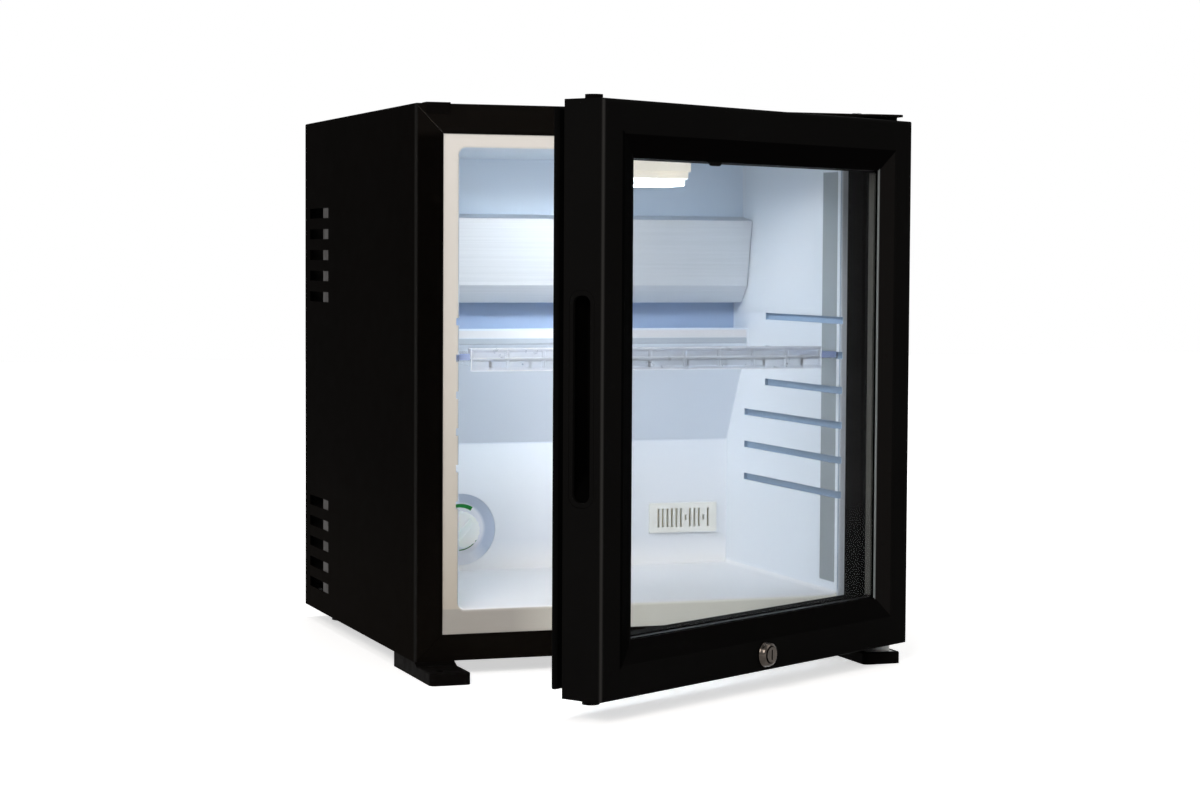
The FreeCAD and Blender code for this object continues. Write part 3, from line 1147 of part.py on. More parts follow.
finish("handle_cup", cut("handle", joined("handle_solid", cup_out, handle_plate), cup_in), rides_door=True)

# Lock: chrome body through the bottom rail's face, with a nut behind it
lock_spot = ("0", "door_front - lock_head_thick", "lock_up")
lock_head = taper("lock_head", "y", "lock_head_radius - lock_head_taper", "lock_head_radius", lock_spot,
                  "lock_head_thick")
lock_barrel = rod("lock_barrel", "y", "lock_barrel_radius", lock_spot,
                  "lock_head_thick + lock_barrel_long - running_gap")
plug_bore = rod("plug_bore", "y", "lock_plug_radius + turn_clearance",
                ("0", lock_spot[1] + " - overrun", "lock_up"),
                "lock_head_thick + lock_barrel_long + 2 * overrun")
finish("lock_body", cut("lock_case", joined("lock_case_whole", lock_head, lock_barrel), plug_bore),
       rides_door=True)
plug_rod = rod("plug_rod", "y", "lock_plug_radius", ("0", lock_spot[1] + " - lock_plug_proud", "lock_up"),
               "lock_plug_proud + lock_head_thick + lock_barrel_long")
key_slot = block("key_slot", ("-key_slot_wide / 2", lock_spot[1] + " - lock_plug_proud - overrun",
                              "lock_up - key_slot_tall / 2"),
                 ("key_slot_wide / 2", lock_spot[1] + " + key_slot_deep", "lock_up + key_slot_tall / 2"))
finish("lock_plug", cut("plug_with_slot", plug_rod, key_slot), rides_door=True)
cam_box = block("cam_box", ("-cam_long", cam_front, "lock_up - cam_wide / 2"),
                ("0", cam_front + " + cam_thick", "lock_up + cam_wide / 2"))
cam_hub = rod("cam_hub", "y", "lock_plug_radius", ("0", cam_front, "lock_up"), "cam_thick")
cam_screw = rod("cam_screw_head", "y", "cam_screw_radius", ("0", cam_front + " + cam_thick", "lock_up"),
                "cam_screw_tall")
finish("lock_cam", joined("cam", cam_box, cam_hub), rides_door=True)
finish("lock_cam_screw", cam_screw, rides_door=True)
nut_start = ("0", "door_front + profile_wall", "lock_up")
nut_disc = rod("nut_disc", "y", "lock_nut_radius", nut_start, "lock_nut_thick")
finish("lock_nut", cut("nut", nut_disc, lock_barrel), rides_door=True)
lock_hole = rod("lock_hole", "y", "lock_barrel_radius", lock_spot,
                "lock_head_thick + profile_wall + overrun")
cam_window = block("cam_window", ("-cam_long - cam_slot_room", cam_front + " - cam_slot_room",
                                  "door_foot - overrun"),
                   ("lock_plug_radius + cam_slot_room", cam_front + " + cam_thick + cam_slot_room",
                    "door_foot + profile_wall + overrun"))

finish("door_free_stile", cut("free_stile", frame_parts["left"], cup_out, corner_holes["plug", "top"],
                              corner_holes["plug", "foot"]), rides_door=True)
finish("door_hinge_stile", cut("hinge_stile", frame_parts["right"], corner_holes["bush", "top"],
                               corner_holes["bush", "foot"]), rides_door=True)
finish("door_top_rail", cut("top_rail", frame_parts["top"], corner_holes["bush", "top"],
                            corner_holes["plug", "top"]), rides_door=True)
finish("door_bottom_rail", cut("bottom_rail", frame_parts["foot"], corner_holes["bush", "foot"],
                               corner_holes["plug", "foot"], lock_hole, cam_window), rides_door=True)

# Corner keys: solid angles pushed into the hollow profiles
key_y0, key_y1 = "door_front + profile_wall + key_fit", "frame_back - profile_wall - key_fit"
key_near, key_far = "profile_wall + key_fit", "rebate_from_edge - profile_wall - key_fit"
keys = []
for side, sense in (("left", 1), ("right", -1)):
    for end, up in (("door_top", -1), ("door_foot", 1)):
        def at(x_amount, z_amount):
            return ("%s + %d * (%s)" % (side, sense, x_amount), "%s + %d * (%s)" % (end, up, z_amount))
        angle = prism("key_%s_%s" % (side, end), "y", [
            at(key_near, key_near), at("profile_wall + key_leg", key_near),
                                                       at("profile_wall + key_leg", key_far),
            at(key_far, key_far), at(key_far, "profile_wall + key_leg"),
                                                       at(key_near, "profile_wall + key_leg"),
        ], key_y0, key_y1)
        hole = corner_holes["plug" if side == "left" else "bush", end.split("_")[1]]
        keys.append(cut("key_cut_%s_%s" % (side, end), angle, hole))
finish("door_corner_keys", together("four_keys", keys), rides_door=True)

# Bushes on the hinge side and plugs in the same holes on the free side
top_bush = joined("top_bush", rod("top_bush_barrel", "z", "bush_radius",
                                  (bush_x, "hinge_along", top_bush_z), "bush_long"),
                  rod("top_bush_flange", "z", "bush_flange_radius", (bush_x, "hinge_along", "door_top"),
                      "bush_flange_tall"))
foot_bush = rod("foot_bush", "z", "bush_radius", (bush_x, "hinge_along", "door_foot"), "bush_long")
bush_bores = [rod("bush_bore_" + end, "z", "pin_radius + pin_clearance",
                  (bush_x, "hinge_along", low + " - overrun"),
                  "bush_long + bush_flange_tall + 2 * overrun") for end,
              low in (("top", top_bush_z), ("foot", "door_foot"))]
finish("hinge_bushes", together("both_bushes", [cut("bush_top", top_bush, bush_bores[0]),
                                                cut("bush_foot", foot_bush, bush_bores[1])]),
       rides_door=True)
plugs = []
for end, low, cap_z in (("top", "door_top - plug_long", "door_top"),
                        ("foot", "door_foot", "door_foot - plug_head_thick")):
    plugs.append(joined("plug_" + end,
                        rod("plug_stem_" + end, "z", "bush_radius", (plug_x, "hinge_along", low),
                            "plug_long"),
                        rod("plug_cap_" + end, "z", "plug_head_radius", (plug_x, "hinge_along", cap_z),
                            "plug_head_thick")))
finish("hinge_hole_plugs", together("both_plugs", plugs), rides_door=True)

# Sealed glazing unit and the beads that hold it
glass_edge = "rebate_from_edge + pane_edge_gap"


def door_slab(name, amount, start, end):
    return block(name, (inside("left", amount), start, inside("foot", amount)),
                 (inside("right", amount), end, inside("top", amount)))


spacer_start = "pane_front + pane_thick"
spacer_end = "pane_front + pane_thick + spacer_deep"
finish("outer_pane", door_slab("front_glass", glass_edge, "pane_front", spacer_start), rides_door=True)
finish("inner_pane", door_slab("rear_glass", glass_edge, spacer_end, "pane_back"), rides_door=True)
spacer_out = door_slab("spacer_out", "frame_wide - spacer_wide", spacer_start, spacer_end)
spacer_in = door_slab("spacer_in", "frame_wide", spacer_start + " - overrun", spacer_end + " + overrun")
finish("pane_spacer", cut("spacer", spacer_out, spacer_in), rides_door=True)
bead_ends = {
    "left": ((inside("left", "rebate_from_edge"), inside("foot", "rebate_from_edge")),
             (inside("left"), inside("top", "rebate_from_edge"))),
    "right": ((inside("right"), inside("foot", "rebate_from_edge")),
              (inside("right", "rebate_from_edge"), inside("top", "rebate_from_edge"))),
    "top": ((inside("left", "frame_wide + bead_gap"), inside("top")),
            (inside("right", "frame_wide + bead_gap"), inside("top", "rebate_from_edge"))),
    "foot": ((inside("left", "frame_wide + bead_gap"), inside("foot", "rebate_from_edge")),
             (inside("right", "frame_wide + bead_gap"), inside("foot"))),
}
beads = [block("bead_" + side, (low[0], "pane_back", low[1]), (high[0], "frame_back", high[1]))
         for side, (low, high) in bead_ends.items()]
finish("glazing_beads", together("four_beads", beads), rides_door=True)

# Tab at the top edge of the glass
tab_x = "left + tab_from_edge"
finish("glass_tab", prism("tab", "y", [
    (tab_x + " - tab_wide / 2", inside("top")),
                                       (tab_x + " - tab_wide / 2 + tab_thick",
                                        inside("top") + " - tab_tall"),
    (tab_x + " + tab_wide / 2 - tab_thick", inside("top") + " - tab_tall"),
                                       (tab_x + " + tab_wide / 2", inside("top")),
], "pane_front - tab_thick", "pane_front"), rides_door=True)

# Gasket: a bellows ring of soft rubber with a magnet strip inside
gasket_steps = [
    ("0", "gasket_wide", "0", "gasket_waist"),
    ("gasket_waist", "gasket_wide - gasket_waist", "gasket_waist", "gasket_thick / 3"),
    ("gasket_face_inset", "gasket_wide - gasket_waist / 2", "gasket_thick / 3", "gasket_thick * 2 / 3"),
    ("gasket_waist", "gasket_wide - gasket_waist", "gasket_thick * 2 / 3",
     "gasket_thick - gasket_waist * 2"),
    ("gasket_face_inset", "gasket_wide - gasket_waist / 2", "gasket_thick - gasket_waist * 2",
     "gasket_thick"),
]
rings = []
for index, (near_edge, far_edge, start, end) in enumerate(gasket_steps):
    outside = door_slab("seal_out_%d" % index, "gasket_inset + " + near_edge, "frame_back + " + start,
                        "frame_back + " + end)
    hollow = door_slab("seal_in_%d" % index, "gasket_inset + " + far_edge, "frame_back - overrun",
                       "frame_back + gasket_thick + overrun")
    rings.append(cut("seal_%d" % index, outside, hollow))
finish("door_gasket", joined("gasket", *rings), rides_door=True)

doc.recompute()

failed = [thing.Name for thing in doc.Objects if {"Invalid", "Error"} & set(thing.State)]
assert not failed, "failed objects: %s" % failed
for piece in finished:
    assert not piece.Shape.isNull(), piece.Label + " is empty"
    assert piece.Shape.isValid(), piece.Label + " is not valid"
    assert piece.Shape.Solids, piece.Label + " has no solid"

os.makedirs("parts", exist_ok=True)
for piece in finished:
    piece.Shape.exportStep("parts/%s.step" % piece.Label)
    print(piece.Label, len(piece.Shape.Solids), round(piece.Shape.Volume, 1))
print(len(finished), "sub-parts")
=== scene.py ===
import math

import bmesh
import bpy
from mathutils import Matrix, Vector


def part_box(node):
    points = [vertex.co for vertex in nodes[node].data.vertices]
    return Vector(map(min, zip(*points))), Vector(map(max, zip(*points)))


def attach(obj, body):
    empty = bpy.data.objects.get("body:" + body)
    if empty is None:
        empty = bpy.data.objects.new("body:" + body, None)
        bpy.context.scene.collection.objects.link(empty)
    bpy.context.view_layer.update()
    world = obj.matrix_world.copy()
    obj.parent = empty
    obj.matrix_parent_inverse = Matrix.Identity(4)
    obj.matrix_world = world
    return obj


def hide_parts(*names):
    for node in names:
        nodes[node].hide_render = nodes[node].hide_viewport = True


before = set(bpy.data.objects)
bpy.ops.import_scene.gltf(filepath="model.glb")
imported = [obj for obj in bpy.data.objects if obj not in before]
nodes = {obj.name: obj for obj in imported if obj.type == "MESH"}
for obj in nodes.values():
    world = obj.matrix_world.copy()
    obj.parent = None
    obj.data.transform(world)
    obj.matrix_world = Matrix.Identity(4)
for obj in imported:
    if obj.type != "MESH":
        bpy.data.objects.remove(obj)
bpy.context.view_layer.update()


# Camera: it stands in front of the cabinet and to its left, a little above the middle of the door,
# and looks slightly down, with the long lens of a catalogue picture.
camera_place = (-0.7612, -2.2139, 0.3339)
turned_right, tipped_down, rolled = 0.3392, 0.0539, 0.0055
camera_data = bpy.data.cameras.new("camera")
camera_data.lens = 80.05
camera_data.sensor_width = 36
camera_data.clip_start = 0.05
camera = bpy.data.objects.new("camera", camera_data)
bpy.context.scene.collection.objects.link(camera)
camera.matrix_world = (
    Matrix.Translation(camera_place)
    @ Matrix.Rotation(-turned_right, 4, "Z")
    @ Matrix.Rotation(math.pi / 2 - tipped_down, 4, "X")
    @ Matrix.Rotation(rolled, 4, "Z")
)
bpy.context.scene.camera = camera


# Cabinet wrapper: a sheet of 0.8 mm steel, folded over the top and both sides with a flange round the front.
# It is powder coated satin black after folding, with a fine orange peel. Painted highlights run along the
# front fold, the mitred seam and the top of the flange, and painted light from the floor pales it near the
# foot.
def new_finish(name, roughness, metallic=0.0, specular=0.5):
    """A new material, its node tree and its Principled shader."""
    material = bpy.data.materials.new(name)
    material.use_nodes = True
    shader = material.node_tree.nodes["Principled BSDF"]
    shader.inputs["Roughness"].default_value = roughness
    shader.inputs["Metallic"].default_value = metallic
    shader.inputs["Specular IOR Level"].default_value = specular
    return material, material.node_tree, shader


def where_on_piece(tree, stretch=(1, 1, 1), turn=(0, 0, 0)):
    """The piece's own coordinates in metres, stretched where a grain runs along it."""
    place = tree.nodes.new("ShaderNodeTexCoord")
    mapping = tree.nodes.new("ShaderNodeMapping")
    mapping.inputs["Scale"].default_value = stretch
    mapping.inputs["Rotation"].default_value = turn
    tree.links.new(place.outputs["Object"], mapping.inputs["Vector"])
    return mapping.outputs["Vector"]


def mottle(tree, where, scale, detail=3.0, rough=0.5):
    """Cloudy noise at so many patches to the metre."""
    noise = tree.nodes.new("ShaderNodeTexNoise")
    noise.inputs["Scale"].default_value = scale
    noise.inputs["Detail"].default_value = detail
    noise.inputs["Roughness"].default_value = rough
    tree.links.new(where, noise.inputs["Vector"])
    return noise.outputs["Fac"]


def reach(tree, value, low, high, start=0.3, end=0.7):
    """A value between start and end, spread from low to high."""
    spread = tree.nodes.new("ShaderNodeMapRange")
    spread.inputs["From Min"].default_value = start
    spread.inputs["From Max"].default_value = end
    spread.inputs["To Min"].default_value = low
    spread.inputs["To Max"].default_value = high
    tree.links.new(value, spread.inputs["Value"])
    return spread.outputs["Result"]


def shade(tree, value, first, second):
    """A colour that goes from the first to the second as the value goes from 0 to 1."""
    mix = tree.nodes.new("ShaderNodeMix")
    mix.data_type = "RGBA"
    tree.links.new(value, mix.inputs["Factor"])
    for socket, colour in (("A", first), ("B", second)):
        target = [s for s in mix.inputs if s.name == socket and s.type == "RGBA"][0]
        if isinstance(colour, bpy.types.NodeSocket):
            tree.links.new(colour, target)
        else:
            target.default_value = (*colour, 1)
    return [s for s in mix.outputs if s.type == "RGBA"][0]


def relief(tree, shader, height, depth, strength=0.6):
    """Bumps of so many metres from a height between 0 and 1."""
    bump = tree.nodes.new("ShaderNodeBump")
    bump.inputs["Strength"].default_value = strength
    bump.inputs["Distance"].default_value = depth
    tree.links.new(height, bump.inputs["Height"])
    tree.links.new(bump.outputs["Normal"], shader.inputs["Normal"])


def coat(material, *names):
    """Gives CAD nodes their finish."""
    for name in names:
        nodes[name].data.materials.clear()
        nodes[name].data.materials.append(material)


def axes(tree, where):
    """The X, Y and Z of a place."""
    spot = tree.nodes.new("ShaderNodeSeparateXYZ")
    tree.links.new(where, spot.inputs["Vector"])
    return spot.outputs


def times(tree, first, second):
    """One value times another."""
    product = tree.nodes.new("ShaderNodeMath")
    product.operation = "MULTIPLY"
    tree.links.new(first, product.inputs[0])
    tree.links.new(second, product.inputs[1])
    return product.outputs["Value"]


def between(tree, value, low, high, soft):
    """1 where a value lies between two others, 0 outside, with a soft edge."""
    rise = reach(tree, value, 0, 1, low - soft, low + soft)
    fall = reach(tree, value, 1, 0, high - soft, high + soft)
    return times(tree, rise, fall)


def near_line(tree, where, across, deep, close, far):
    """1 at an upright line, fading to 0 a little way off."""
    flat = tree.nodes.new("ShaderNodeVectorMath")
    flat.operation = "MULTIPLY"
    flat.inputs[1].default_value = (1, 1, 0)
    tree.links.new(where, flat.inputs[0])
    gap = tree.nodes.new("ShaderNodeVectorMath")
    gap.operation = "DISTANCE"
    gap.inputs[1].default_value = (across, deep, 0)
    tree.links.new(flat.outputs["Vector"], gap.inputs[0])
    return reach(tree, gap.outputs["Value"], 1, 0, close, far)


def uneven_gloss(tree, shader, cloud, least, most):
    """Roughness that wanders with a cloud of noise."""
    tree.links.new(reach(tree, cloud, least, most), shader.inputs["Roughness"])


front_plane, front_fold = (-0.1876, -0.1870), (-0.2008, -0.1880)
painted_floor_light_rise, painted_highlight_top, mitre_seam = (0.02, 0.16), (0.426, 0.432), (0.2514, 0.2524)
powder_coat, tree, shader = new_finish("satin_black_powder_coat", 0.46, specular=0.0003)
where = where_on_piece(tree)
cloud = mottle(tree, where, 9, 4)
black = shade(tree, reach(tree, cloud, 0, 1), (0.0020, 0.0016, 0.0013), (0.0025, 0.0020, 0.0017))
spot = axes(tree, where)
# Painted light: the wrapper pales towards its foot, as if lit from the floor.
black = shade(tree, reach(tree, spot["Z"], 1, 0, *painted_floor_light_rise), black, (0.0050, 0.0040, 0.0032))
seam = tree.nodes.new("ShaderNodeMath")
tree.links.new(spot["X"], seam.inputs[0])
tree.links.new(spot["Z"], seam.inputs[1])
flange_face = reach(tree, spot["Y"], 1, 0, *front_plane)
# Painted highlights along the top of the front flange and down its mitred seam.
for mark, tone in ((reach(tree, spot["Z"], 0, 1, *painted_highlight_top), (0.0060, 0.0050, 0.0043)),
                   (between(tree, seam.outputs["Value"], *mitre_seam, 0.0002), (0.022, 0.020, 0.019))):
    black = shade(tree, times(tree, mark, flange_face), black, tone)
# Painted highlight down the front fold.
painted_edge_highlight = near_line(tree, where, *front_fold, 0.0010, 0.0024)
tree.links.new(shade(tree, painted_edge_highlight, black, (0.0135, 0.0130, 0.0125)), shader.inputs["Base Color"])
uneven_gloss(tree, shader, mottle(tree, where, 60), 0.44, 0.50)
relief(tree, shader, mottle(tree, where, 1400, 2), 0.00006, 0.5)
coat(powder_coat, "cabinet_wrapper")


# Floor panel and the screws under it: a black steel tray that closes the cabinet below and carries the feet.
# The screws are zinc plated, turned in after coating.
def two_tone(tree, shader, cloud, first, second):
    """A colour that wanders from the first to the second with a cloud of noise."""
    tree.links.new(shade(tree, reach(tree, cloud, 0, 1), first, second), shader.inputs["Base Color"])


coat(powder_coat, "floor_panel")
zinc, tree, shader = new_finish("zinc_plate", 0.34, metallic=1.0)
where = where_on_piece(tree)
two_tone(tree, shader, mottle(tree, where, 180, 5), (0.26, 0.265, 0.27), (0.46, 0.46, 0.455))
uneven_gloss(tree, shader, mottle(tree, where, 420, 3), 0.26, 0.46)
relief(tree, shader, mottle(tree, where, 2600, 2), 0.00003, 0.4)
coat(zinc, "base_screws")


# Back sheet: a thin steel sheet behind the foam, dark grey, with the spangle of its zinc just
# showing through. The rear grille hides most of it, and the side slots show its edge.
grey_sheet, tree, shader = new_finish("dark_grey_sheet", 0.5, specular=0.05)
where = where_on_piece(tree)
crystals = tree.nodes.new("ShaderNodeTexVoronoi")
crystals.inputs["Scale"].default_value = 90
tree.links.new(where, crystals.inputs["Vector"])
grey = tree.nodes.new("ShaderNodeSeparateColor")
tree.links.new(crystals.outputs["Color"], grey.inputs["Color"])
tree.links.new(shade(tree, grey.outputs["Red"], (0.030, 0.027, 0.026), (0.038, 0.034, 0.033)),
               shader.inputs["Base Color"])
tree.links.new(reach(tree, grey.outputs["Green"], 0.45, 0.55, 0, 1), shader.inputs["Roughness"])
relief(tree, shader, mottle(tree, where, 900, 3), 0.00004, 0.4)
coat(grey_sheet, "back_sheet")


# Insulation: rigid polyurethane foam, blown in between the steel and the liner, the colour of weak tea.
# It shows only where the wrapper is cut away.
foam, tree, shader = new_finish("rigid_foam", 0.9)
where = where_on_piece(tree)
cells = tree.nodes.new("ShaderNodeTexVoronoi")
cells.inputs["Scale"].default_value = 1100
tree.links.new(where, cells.inputs["Vector"])
two_tone(tree, shader, mottle(tree, where, 30, 5), (0.62, 0.50, 0.26), (0.78, 0.67, 0.42))
relief(tree, shader, cells.outputs["Distance"], 0.0004, 0.7)
coat(foam, "insulation_foam")


# Inner liner: white polystyrene sheet, drawn by vacuum into a tub with grooves, a gutter lip and a flange.
# Drawing leaves faint waves in it. Painted shade makes it a bluer white towards the top, and painted light
# makes it whiter near the floor and on the side walls. Painted shade darkens the grooves, the slanted wall,
# the gutter's back, the lip's foot and a stripe down the right wall, and painted light whitens the lip's top.
# Its flange is cream and darker towards the bottom, with painted shade at its lower left, painted light at
# its lower right and a bluer painted light on its right side.
flange_plane, flange_split, sill_top = (-0.1871, -0.1862), (0.163, 0.164), (0.0525, 0.0535)
painted_blue_shade_rise, painted_floor_light_fade = (0.13, 0.30), (0.058, 0.080)
side_plane, groove_plane = (0.1630, 0.1638), (0.1642, 0.1646)
wall_to_wall = (-0.1632, 0.1632)
slanted_wall = wall_to_wall, (0.0125, 0.060), (0.166, 0.257)
lip_foot = wall_to_wall, (0.0100, 0.0130), (0.256, 0.2616)
lip_head = wall_to_wall, (0.0100, 0.0130), (0.2618, 0.2685)
gutter_back = wall_to_wall, (0.030, 0.060), (0.262, 0.300)
painted_shade_stripe = (0.155, 0.300), (-0.1812, -0.1512), (0.062, 0.405)
liner_white, tree, shader = new_finish("drawn_polystyrene", 0.30, specular=0.25)
where = where_on_piece(tree)
spot = axes(tree, where)
front = reach(tree, spot["Y"], 1, 0, *flange_plane)
low_wall = shade(tree, reach(tree, mottle(tree, where, 5, 2), 0, 1), (0.81, 0.84, 0.88), (0.83, 0.86, 0.895))
# Painted shade: bluer towards the roof. Painted light: whiter near the floor.
wall = shade(tree, reach(tree, spot["Z"], 0, 1, *painted_blue_shade_rise), low_wall, (0.72, 0.81, 0.91))
wall = shade(tree, reach(tree, spot["Z"], 1, 0, *painted_floor_light_fade), wall, (0.97, 0.965, 0.96))
side = tree.nodes.new("ShaderNodeMath")
side.operation = "ABSOLUTE"
tree.links.new(spot["X"], side.inputs[0])
# Painted light: the side walls whiter.
wall = shade(tree, reach(tree, side.outputs["Value"], 0, 1, *side_plane), wall, (0.84, 0.88, 0.92))


def zone(tree, spot, wide, deep, high):
    """1 inside a box given by its ends across, deep and high, 0 outside."""
    soft = 0.0006
    inside = between(tree, spot["X"], *wide, soft)
    for name, ends in (("Y", deep), ("Z", high)):
        inside = times(tree, inside, between(tree, spot[name], *ends, soft))
    return inside


# Painted shade on the slanted wall, the lip's foot, the gutter's back and a stripe down the right wall;
# painted light on the lip's top.
for place, tone in ((slanted_wall, (0.67, 0.73, 0.81)), (lip_foot, (0.46, 0.50, 0.55)),
                    (lip_head, (0.745, 0.735, 0.745)), (gutter_back, (0.42, 0.53, 0.72)),
                    (painted_shade_stripe, (0.30, 0.325, 0.335))):
    wall = shade(tree, zone(tree, spot, *place), wall, tone)
# Painted shade inside the grooves.
wall = shade(tree, reach(tree, side.outputs["Value"], 0, 1, *groove_plane), wall, (0.30, 0.40, 0.52))
# The flange darkens towards the bottom; at the sill, painted shade on the left and painted light on the
# right, and a bluer painted light on the flange's right side.
flange_tone = shade(tree, reach(tree, spot["Z"], 0, 1, 0.05, 0.42),
                    (0.52, 0.47, 0.40), (0.84, 0.80, 0.75))
low_flange_light_and_shade = shade(tree, reach(tree, spot["X"], 0, 1, -0.12, 0.0),
                   (0.40, 0.375, 0.34), (1.0, 0.99, 0.88))
flange_tone = shade(tree, reach(tree, spot["Z"], 1, 0, *sill_top), flange_tone, low_flange_light_and_shade)
flange_tone = shade(tree, reach(tree, spot["X"], 0, 1, *flange_split), flange_tone, (0.76, 0.81, 0.86))
tree.links.new(shade(tree, front, wall, flange_tone), shader.inputs["Base Color"])
uneven_gloss(tree, shader, mottle(tree, where, 12, 2), 0.30, 0.36)
waves = mottle(tree, where_on_piece(tree, (60, 60, 4)), 1, 3)
relief(tree, shader, waves, 0.0006, 0.15)
coat(liner_white, "inner_liner")


# Evaporator: a brushed aluminium plate that hangs on the block behind it, where the cold comes through.
# Its grain runs across, and frost has left faint clouds on it.
cold_sheet, tree, shader = new_finish("brushed_aluminium", 0.34, metallic=0.7)
grain = mottle(tree, where_on_piece(tree, (5, 700, 700)), 1, 4, 0.6)
clouds = mottle(tree, where_on_piece(tree), 22, 4)
two_tone(tree, shader, grain, (0.72, 0.74, 0.76), (0.79, 0.81, 0.83))
uneven_gloss(tree, shader, clouds, 0.46, 0.56)
relief(tree, shader, grain, 0.00001, 0.3)
coat(cold_sheet, "evaporator_plate", "evaporator_block")


# Cooling unit: seamless steel tube, vessel and condenser, welded up as one circuit and enamelled black.
# The boiler sits in a zinc plated case packed with wool, and the drain tube of the gutter ends over it.
enamel, tree, shader = new_finish("black_enamel", 0.36, specular=0.4)
where = where_on_piece(tree)
two_tone(tree, shader, mottle(tree, where, 35, 5), (0.018, 0.018, 0.020), (0.045, 0.044, 0.043))
uneven_gloss(tree, shader, mottle(tree, where, 110, 4), 0.26, 0.52)
relief(tree, shader, mottle(tree, where, 700, 3), 0.00008, 0.5)
coat(enamel, "evaporator_tube", "absorber_coil", "absorber_vessel", "vapour_pipe", "condenser_fins")
coat(zinc, "boiler_case")

grain_black, tree, shader = new_finish("grained_black_plastic", 0.5, specular=0.004)
where = where_on_piece(tree)
two_tone(tree, shader, mottle(tree, where, 28, 4), (0.0032, 0.0028, 0.0026), (0.0042, 0.0036, 0.0033))
uneven_gloss(tree, shader, mottle(tree, where, 90, 3), 0.42, 0.6)
relief(tree, shader, mottle(tree, where, 2400, 2), 0.00008, 0.5)
coat(grain_black, "control_box", "mains_inlet")

cream, tree, shader = new_finish("cream_plastic", 0.38, specular=0.4)
where = where_on_piece(tree)
two_tone(tree, shader, mottle(tree, where, 40, 4), (0.84, 0.83, 0.76), (0.90, 0.89, 0.83))
uneven_gloss(tree, shader, mottle(tree, where, 160, 3), 0.30, 0.46)
relief(tree, shader, mottle(tree, where, 1500, 2), 0.00004, 0.4)
coat(cream, "gutter_drain")


# Rear grille: a slotted steel sheet, screwed to four plastic blocks inside the wrapper. Air rises through it
# past the cooling unit. Its coat is thinner and greyer than the wrapper's, and dust lies in it.
grille_coat, tree, shader = new_finish("thin_black_coat", 0.5, specular=0.02)
where = where_on_piece(tree)
dust = mottle(tree, where, 16, 5)
two_tone(tree, shader, dust, (0.0090, 0.0085, 0.0082), (0.0150, 0.0142, 0.0136))
uneven_gloss(tree, shader, dust, 0.42, 0.62)
relief(tree, shader, mottle(tree, where, 1400, 2), 0.00006, 0.5)
coat(grille_coat, "rear_grille")
coat(grain_black, "grille_blocks")
coat(zinc, "grille_screws")


# Lamp: a cream housing under the cavity's roof, with a board of white diodes behind an opal lens.
# The housing is moulded in one and clipped up into the roof. The lens glows an even, slightly blue white.
def add_block(sheet, low, high, rounding=0.0, segments=2):
    """A block between two corners, with its edges rounded."""
    low, high = Vector(low), Vector(high)
    place = Matrix.Translation((low + high) / 2) @ Matrix.Diagonal((*(high - low), 1))
    made = bmesh.ops.create_cube(sheet, size=1, matrix=place)
    if rounding:
        edges = list({edge for vert in made["verts"] for edge in vert.link_edges})
        bmesh.ops.bevel(sheet, geom=edges, offset=rounding, offset_type="OFFSET", affect="EDGES",
                        segments=segments, profile=0.5, material=-1)


def settle(sheet, name, body, slot, material, *stands_for, smooth=32):
    """Makes a finished mesh one piece of the object, on its body and in the place of CAD nodes."""
    bmesh.ops.remove_doubles(sheet, verts=sheet.verts, dist=0.000002)
    bmesh.ops.recalc_face_normals(sheet, faces=sheet.faces)
    mesh = bpy.data.meshes.new(name)
    sheet.to_mesh(mesh)
    sheet.free()
    mesh.materials.append(material)
    mesh.shade_smooth()
    mesh.set_sharp_from_angle(angle=math.radians(smooth))
    piece = bpy.data.objects.new(name, mesh)
    bpy.context.scene.collection.objects.link(piece)
    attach(piece, body)
    if stands_for:
        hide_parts(*stands_for)
    return piece


low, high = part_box("lamp_housing")
housing = bmesh.new()
tier_foot, tier_lap, step_in, rib_proud, latch_long = 0.0055, 0.0020, 0.001, 0.0006, 0.016
add_block(housing, (low[0], low[1], low[2] + tier_foot), high, 0.0012, 3)
add_block(housing, (low[0] + 2 * step_in, low[1] + step_in, low[2] + 0.0004),
          (high[0] - 2 * step_in, high[1] - step_in, low[2] + tier_foot + tier_lap), 0.0006)
add_block(housing, (low[0] + 0.004, low[1] - rib_proud, low[2] + 0.0100),
          (low[0] + 0.0054, low[1] + step_in, high[2] - step_in), 0.0003)
for start in (0.016, 0.064):
    add_block(housing, (low[0] + start, low[1] - rib_proud, low[2] + 0.0022),
              (low[0] + start + latch_long, low[1] + step_in, low[2] + 0.0030), 0.0003)
lit_cream, tree, shader = new_finish("lit_cream_plastic", 0.38, specular=0.3)
where = where_on_piece(tree)
two_tone(tree, shader, mottle(tree, where, 40, 4), (0.86, 0.80, 0.68), (0.92, 0.86, 0.74))
# A faint glow of its own: painted light for the lamp's light coming through the housing's walls.
shader.inputs["Emission Color"].default_value = (1.0, 0.93, 0.80, 1)
shader.inputs["Emission Strength"].default_value = 0.45
relief(tree, shader, mottle(tree, where, 1500, 2), 0.00004, 0.4)
settle(housing, "lamp_case", "cabinet", "cream_plastic", lit_cream, "lamp_housing")
solder_mask, tree, shader = new_finish("white_solder_mask", 0.35)
where = where_on_piece(tree)
two_tone(tree, shader, mottle(tree, where, 60, 3), (0.80, 0.80, 0.77), (0.88, 0.88, 0.86))
coat(solder_mask, "led_board")
glow, tree, shader = new_finish("glowing_lens", 0.3)
where = where_on_piece(tree)
two_tone(tree, shader, mottle(tree, where, 50, 2), (0.74, 0.74, 0.71), (0.78, 0.78, 0.75))
shader.inputs["Emission Color"].default_value = (0.84, 0.92, 1.0, 1)
facing = tree.nodes.new("ShaderNodeNewGeometry")
below, sides = 46, 0.7
down = axes(tree, facing.outputs["True Normal"])["Z"]
